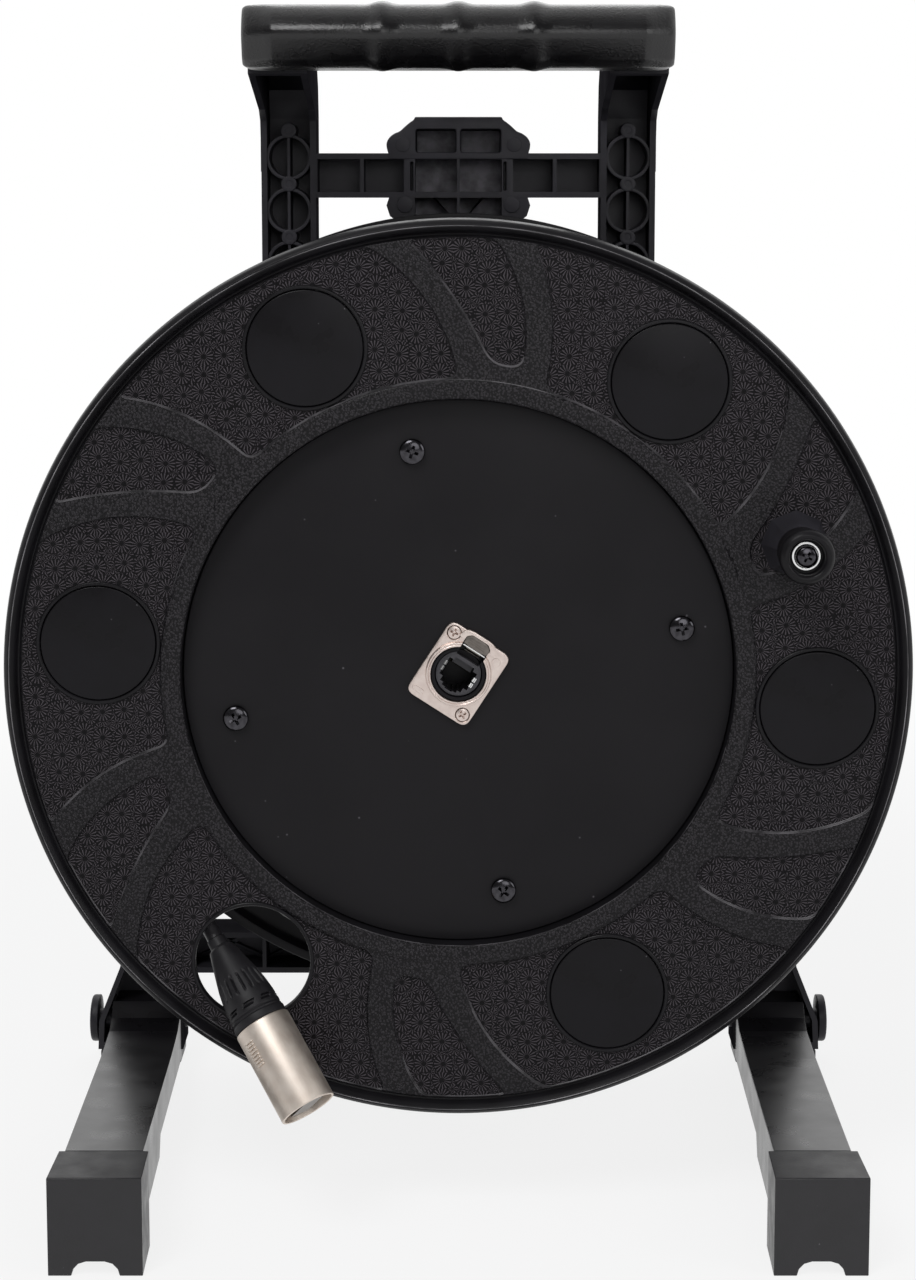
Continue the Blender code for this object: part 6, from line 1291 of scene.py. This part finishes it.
# Carry handle: a grip with a crease along its front, hipped ends and three soft finger swells, lofted along X.
# The section's corners are (y from the front or back, z from the top or bottom, corner). heights give (how far from the
# end, share of the height).
grip = {
    "half": 0.082, "front": 0.056, "back": 0.096, "low": 0.2205, "top": 0.2445,
    "upper": ((0.0, -0.0112, 0.0046), (0.0042, -0.0052, 0.0040), (0.0112, 0.0, 0.0040)),
    "upperBack": ((-0.0085, 0.0, 0.0022), (-0.0015, -0.0055, 0.0018), (0.0, -0.010, 0.001)),
    "lowerBack": ((0.0, 0.003, 0.0008), (-0.004, 0.0, 0.0010)),
    "lower": ((0.012, 0.0, 0.0016), (0.0060, 0.0030, 0.0018)),
    "ridges": 3, "ridgePitch": 0.0287, "ridgeHigh": 0.0013, "ridgeHalf": 0.0078, "ridgeSteps": 9, "ridgeBack": 0.006,
    "swellDeep": 0.018, "swellHigh": 0.012,
    "heights": ((0.0, 0.88), (0.0005, 0.925), (0.0013, 0.96), (0.0028, 0.982), (0.0055, 0.994), (0.009, 1.0),
                (0.0112, 1.0), (0.0124, 1.0)),
    "hip": 0.0118, "hipShare": 0.56, "endRound": 0.06, "endReach": 0.0008}


def hipped(inset):
    # How deep the grip is that far from its end: a sloping hip with a small round at its edge.
    g = grip
    share = min(inset / g["hip"], 1.0)
    return g["hipShare"] + (1 - g["hipShare"]) * share - g["endRound"] * math.exp(-inset / g["endReach"])


def gripSection():
    g = grip
    sides = (("front", "top", "upper"), ("back", "top", "upperBack"), ("back", "low", "lowerBack"),
             ("front", "low", "lower"))
    corners = [(g[y] + deep, g[z] + high, reach) for y, z, kind in sides for deep, high, reach in g[kind]]
    return rounded(corners, 0.001, 4)


def makeGrip():
    g = grip
    middleY, middleZ = (g["front"] + g["back"]) / 2, (g["low"] + g["top"]) / 2
    # Each place along X is (x, share of the height, share of the depth, how far the surface swells).
    places = [(-g["half"] + inset, tall, hipped(inset), 0.0) for inset, tall in g["heights"]]
    for ridge in range(g["ridges"]):
        centre = (ridge - (g["ridges"] - 1) / 2) * g["ridgePitch"]
        for step in range(-g["ridgeSteps"], g["ridgeSteps"] + 1):
            along = step / g["ridgeSteps"]
            lift = (0.5 + 0.5 * math.cos(math.pi * along)) ** 1.5
            places.append((centre + g["ridgeHalf"] * along, 1.0, 1.0, g["ridgeHigh"] * lift))
    places += [(g["half"] - inset, tall, hipped(inset), 0.0) for inset, tall in reversed(g["heights"])]
    rings, section = [], gripSection()
    for x, tall, deep, lift in places:
        ring = []
        for y, z in section:
            acrossY, acrossZ = y - middleY, z - middleZ
            outward = Vector((min(acrossY / g["swellDeep"], 0.0), acrossZ / g["swellHigh"]))
            swells = outward.length and y < g["back"] - g["ridgeBack"]
            outward = outward.normalized() * lift if swells else Vector((0, 0))
            ring.append((x, middleY + acrossY * (deep if acrossY < 0 else 1) + outward.x,
                         middleZ + acrossZ * tall + outward.y))
        rings.append(ring)
    addPiece("grip_moulded", lofted(rings), gripAbs, "stand", ("handle_grip",), sharp=28)


makeGrip()


# Brake knob: eight soft lobes and a round boss.
brake = {
    "place": (0, 0, -0.066), "front": 0.178, "back": 0.194, "radius": 0.0190, "wave": 0.0011, "lobes": 8,
    "lobeReach": (0.0100, 0.0160), "boss": (0.0095, 0.0088), "bossDip": 0.0012, "bore": 0.0042, "boreBack": 0.0070}


def lobed(radius, y, angle):
    share = stepUp(radius, *brake["lobeReach"])
    return radius - share * brake["wave"] * (1 - math.cos(brake["lobes"] * angle))


def makeBrakeKnob():
    b = brake
    front, back, radius, (bossFoot, bossTop) = b["front"], b["back"], b["radius"], b["boss"]
    dip, ceiling = back - b["bossDip"], back - b["boreBack"]
    profile = rounded([
        (b["bore"], front), (radius - 0.0008, front, 0.0006), (radius, front + 0.004, 0.002),
        (radius, back - 0.003, 0.0022), (radius - 0.0045, back, 0.002), (bossFoot, back, 0.0008),
        (bossTop, dip, 0.0006), (0, dip)], 0.0004, loop=False)
    mesh = turned(profile + [(0, ceiling), (b["bore"], ceiling)], 192, lobed)
    addPiece("brake_knob_lobed", mesh, frameAbs, "brake_screw", ("brake_knob",), b["place"], sharp=50)


makeBrakeKnob()
print("handle and brake knob made")


# Pieces that keep their plain solids: inside the drum, or plain already. Each gets its material.
kept = {
    zincSteel: ("axle_bolt", "axle_washer", "axle_nut", "tie_bolt_1", "tie_bolt_2", "tie_bolt_3", "tie_bolt_4",
                "knob_nut", "knob_sleeve", "brake_rod", "handle_screw_1", "handle_screw_2"),
    leatherPolypropylene: ("barrel",), naturalNylon: ("hub_bush_front", "hub_bush_rear"), footRubber: ("brake_shoe",),
    tumbledSteel: ("plug_insert",), clearPolycarbonate: ("inner_plug",)}
for look, nodes in kept.items():
    for name in nodes:
        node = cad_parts[name]
        node.data.materials.clear()
        node.data.materials.append(look)
print("kept solids coloured")


# Camera, fitted to both flange rims, the six holes and the panel screws.
view = {
    "lens": 67.5027, "sensor": 36, "place": (0.0, -0.923637, 0.380066), "tilt": 83.23718,
    "shiftX": -0.000278, "shiftY": -0.134232}
camera = newObject("view_camera", bpy.data.cameras.new("view_camera"))
camera.data.lens, camera.data.sensor_width, camera.data.sensor_fit = view["lens"], view["sensor"], "AUTO"
camera.data.shift_x, camera.data.shift_y = view["shiftX"], view["shiftY"]
camera.location, camera.rotation_euler = view["place"], (math.radians(view["tilt"]), 0, 0)
bpy.context.scene.camera = camera


# Studio: a pale floor that fades to white and keeps a soft shadow, a white backdrop behind, and four soft lights, each
# with its place, width in metres and power in watts.
studio = {
    "floorHalf": 9.0, "floorColour": "#d9d9db", "floorRough": 0.9, "floorSpecular": 0.1, "floorGlow": 0.84,
    "fadeFrom": 0.45, "fadeTo": 1.1, "worldLight": 0.30, "frontShine": 0.14, "shineFrom": -0.25, "shineTo": 0.35,
    "aim": (0, 0, 0.2),
    "lights": (("key_light", (-0.60, -1.10, 1.70), 0.9, 17), ("front_light", (0.30, -1.55, 0.80), 0.9, 4.5),
               ("side_light", (1.35, -0.75, 0.75), 0.9, 5), ("back_light", (0.1, 1.2, 1.3), 1.0, 5))}


def whiteRays(tree):
    # The camera, metal and glass all see the white surroundings, which add no light.
    ray = addNode(tree, "LightPath").outputs
    both = {0: ray["Is Camera Ray"], 1: ray["Is Transmission Ray"]}
    seen = addNode(tree, "Math", both, operation="MAXIMUM").outputs[0]
    return addNode(tree, "Math", {0: seen, 1: ray["Is Glossy Ray"]}, operation="MAXIMUM").outputs[0]


def makeFloor():
    half = studio["floorHalf"]
    ground = meshOf([(x, y, 0) for x, y in rectangle(-half, -half, half, half)], [(0, 1, 2, 3)])
    floor = newObject("studio_floor", ground)
    look = bpy.data.materials.new("matt_floor_paint")
    look.use_nodes = True
    tree = look.node_tree
    painted = tree.nodes["Principled BSDF"]
    painted.inputs["Base Color"].default_value = linear(studio["floorColour"])
    painted.inputs["Roughness"].default_value = studio["floorRough"]
    painted.inputs["Specular IOR Level"].default_value = studio["floorSpecular"]
    glow = addNode(tree, "Emission", {"Color": (1, 1, 1, 1), "Strength": 1.0})
    spot = addNode(tree, "NewGeometry").outputs["Position"]
    away = addNode(tree, "VectorMath", {0: spot}, operation="LENGTH").outputs["Value"]
    fade = {0: away, 1: studio["fadeFrom"], 2: studio["fadeTo"], 3: studio["floorGlow"], 4: 1.0}
    white = addNode(tree, "MapRange", fade, interpolation_type="SMOOTHSTEP").outputs[0]
    share = addNode(tree, "Math", {0: whiteRays(tree), 1: white}, operation="MULTIPLY").outputs[0]
    mixed = addNode(tree, "MixShader", {0: share, 1: painted.outputs[0], 2: glow.outputs[0]})
    tree.links.new(mixed.outputs[0], tree.nodes["Material Output"].inputs["Surface"])
    ground.materials.append(look)


def makeLights():
    for name, spot, size, power in studio["lights"]:
        lamp = newObject(name, bpy.data.lights.new(name, "AREA"))
        lamp.data.shape, lamp.data.size, lamp.data.energy = "DISK", size, power
        lamp.location = spot
        lamp.rotation_euler = (Vector(studio["aim"]) - Vector(spot)).to_track_quat("-Z", "Y").to_euler()


def makeBackdrop():
    world = bpy.data.worlds.new("studio_world")
    bpy.context.scene.world = world
    world.use_nodes = True
    tree = world.node_tree
    backdrop = tree.nodes["Background"]
    backdrop.inputs["Color"].default_value = (1, 1, 1, 1)
    # Shiny surfaces see the white backdrop behind the reel and the dim room in front of it.
    way = addNode(tree, "SeparateXYZ", {0: addNode(tree, "TexCoord").outputs["Generated"]}).outputs[1]
    room = {0: way, 1: studio["shineFrom"], 2: studio["shineTo"], 3: studio["frontShine"], 4: 1.0}
    shine = addNode(tree, "MapRange", room, interpolation_type="SMOOTHSTEP").outputs[0]
    ray = addNode(tree, "LightPath").outputs["Is Glossy Ray"]
    glossy = addNode(tree, "Mix", {0: ray, 2: 1.0, 3: shine}).outputs[0]
    strength = addNode(tree, "Mix", {0: whiteRays(tree), 2: studio["worldLight"], 3: glossy}).outputs[0]
    tree.links.new(strength, backdrop.inputs["Strength"])


makeFloor()
makeLights()
makeBackdrop()
bpy.context.scene.view_settings.view_transform = "Standard"
print("studio made")
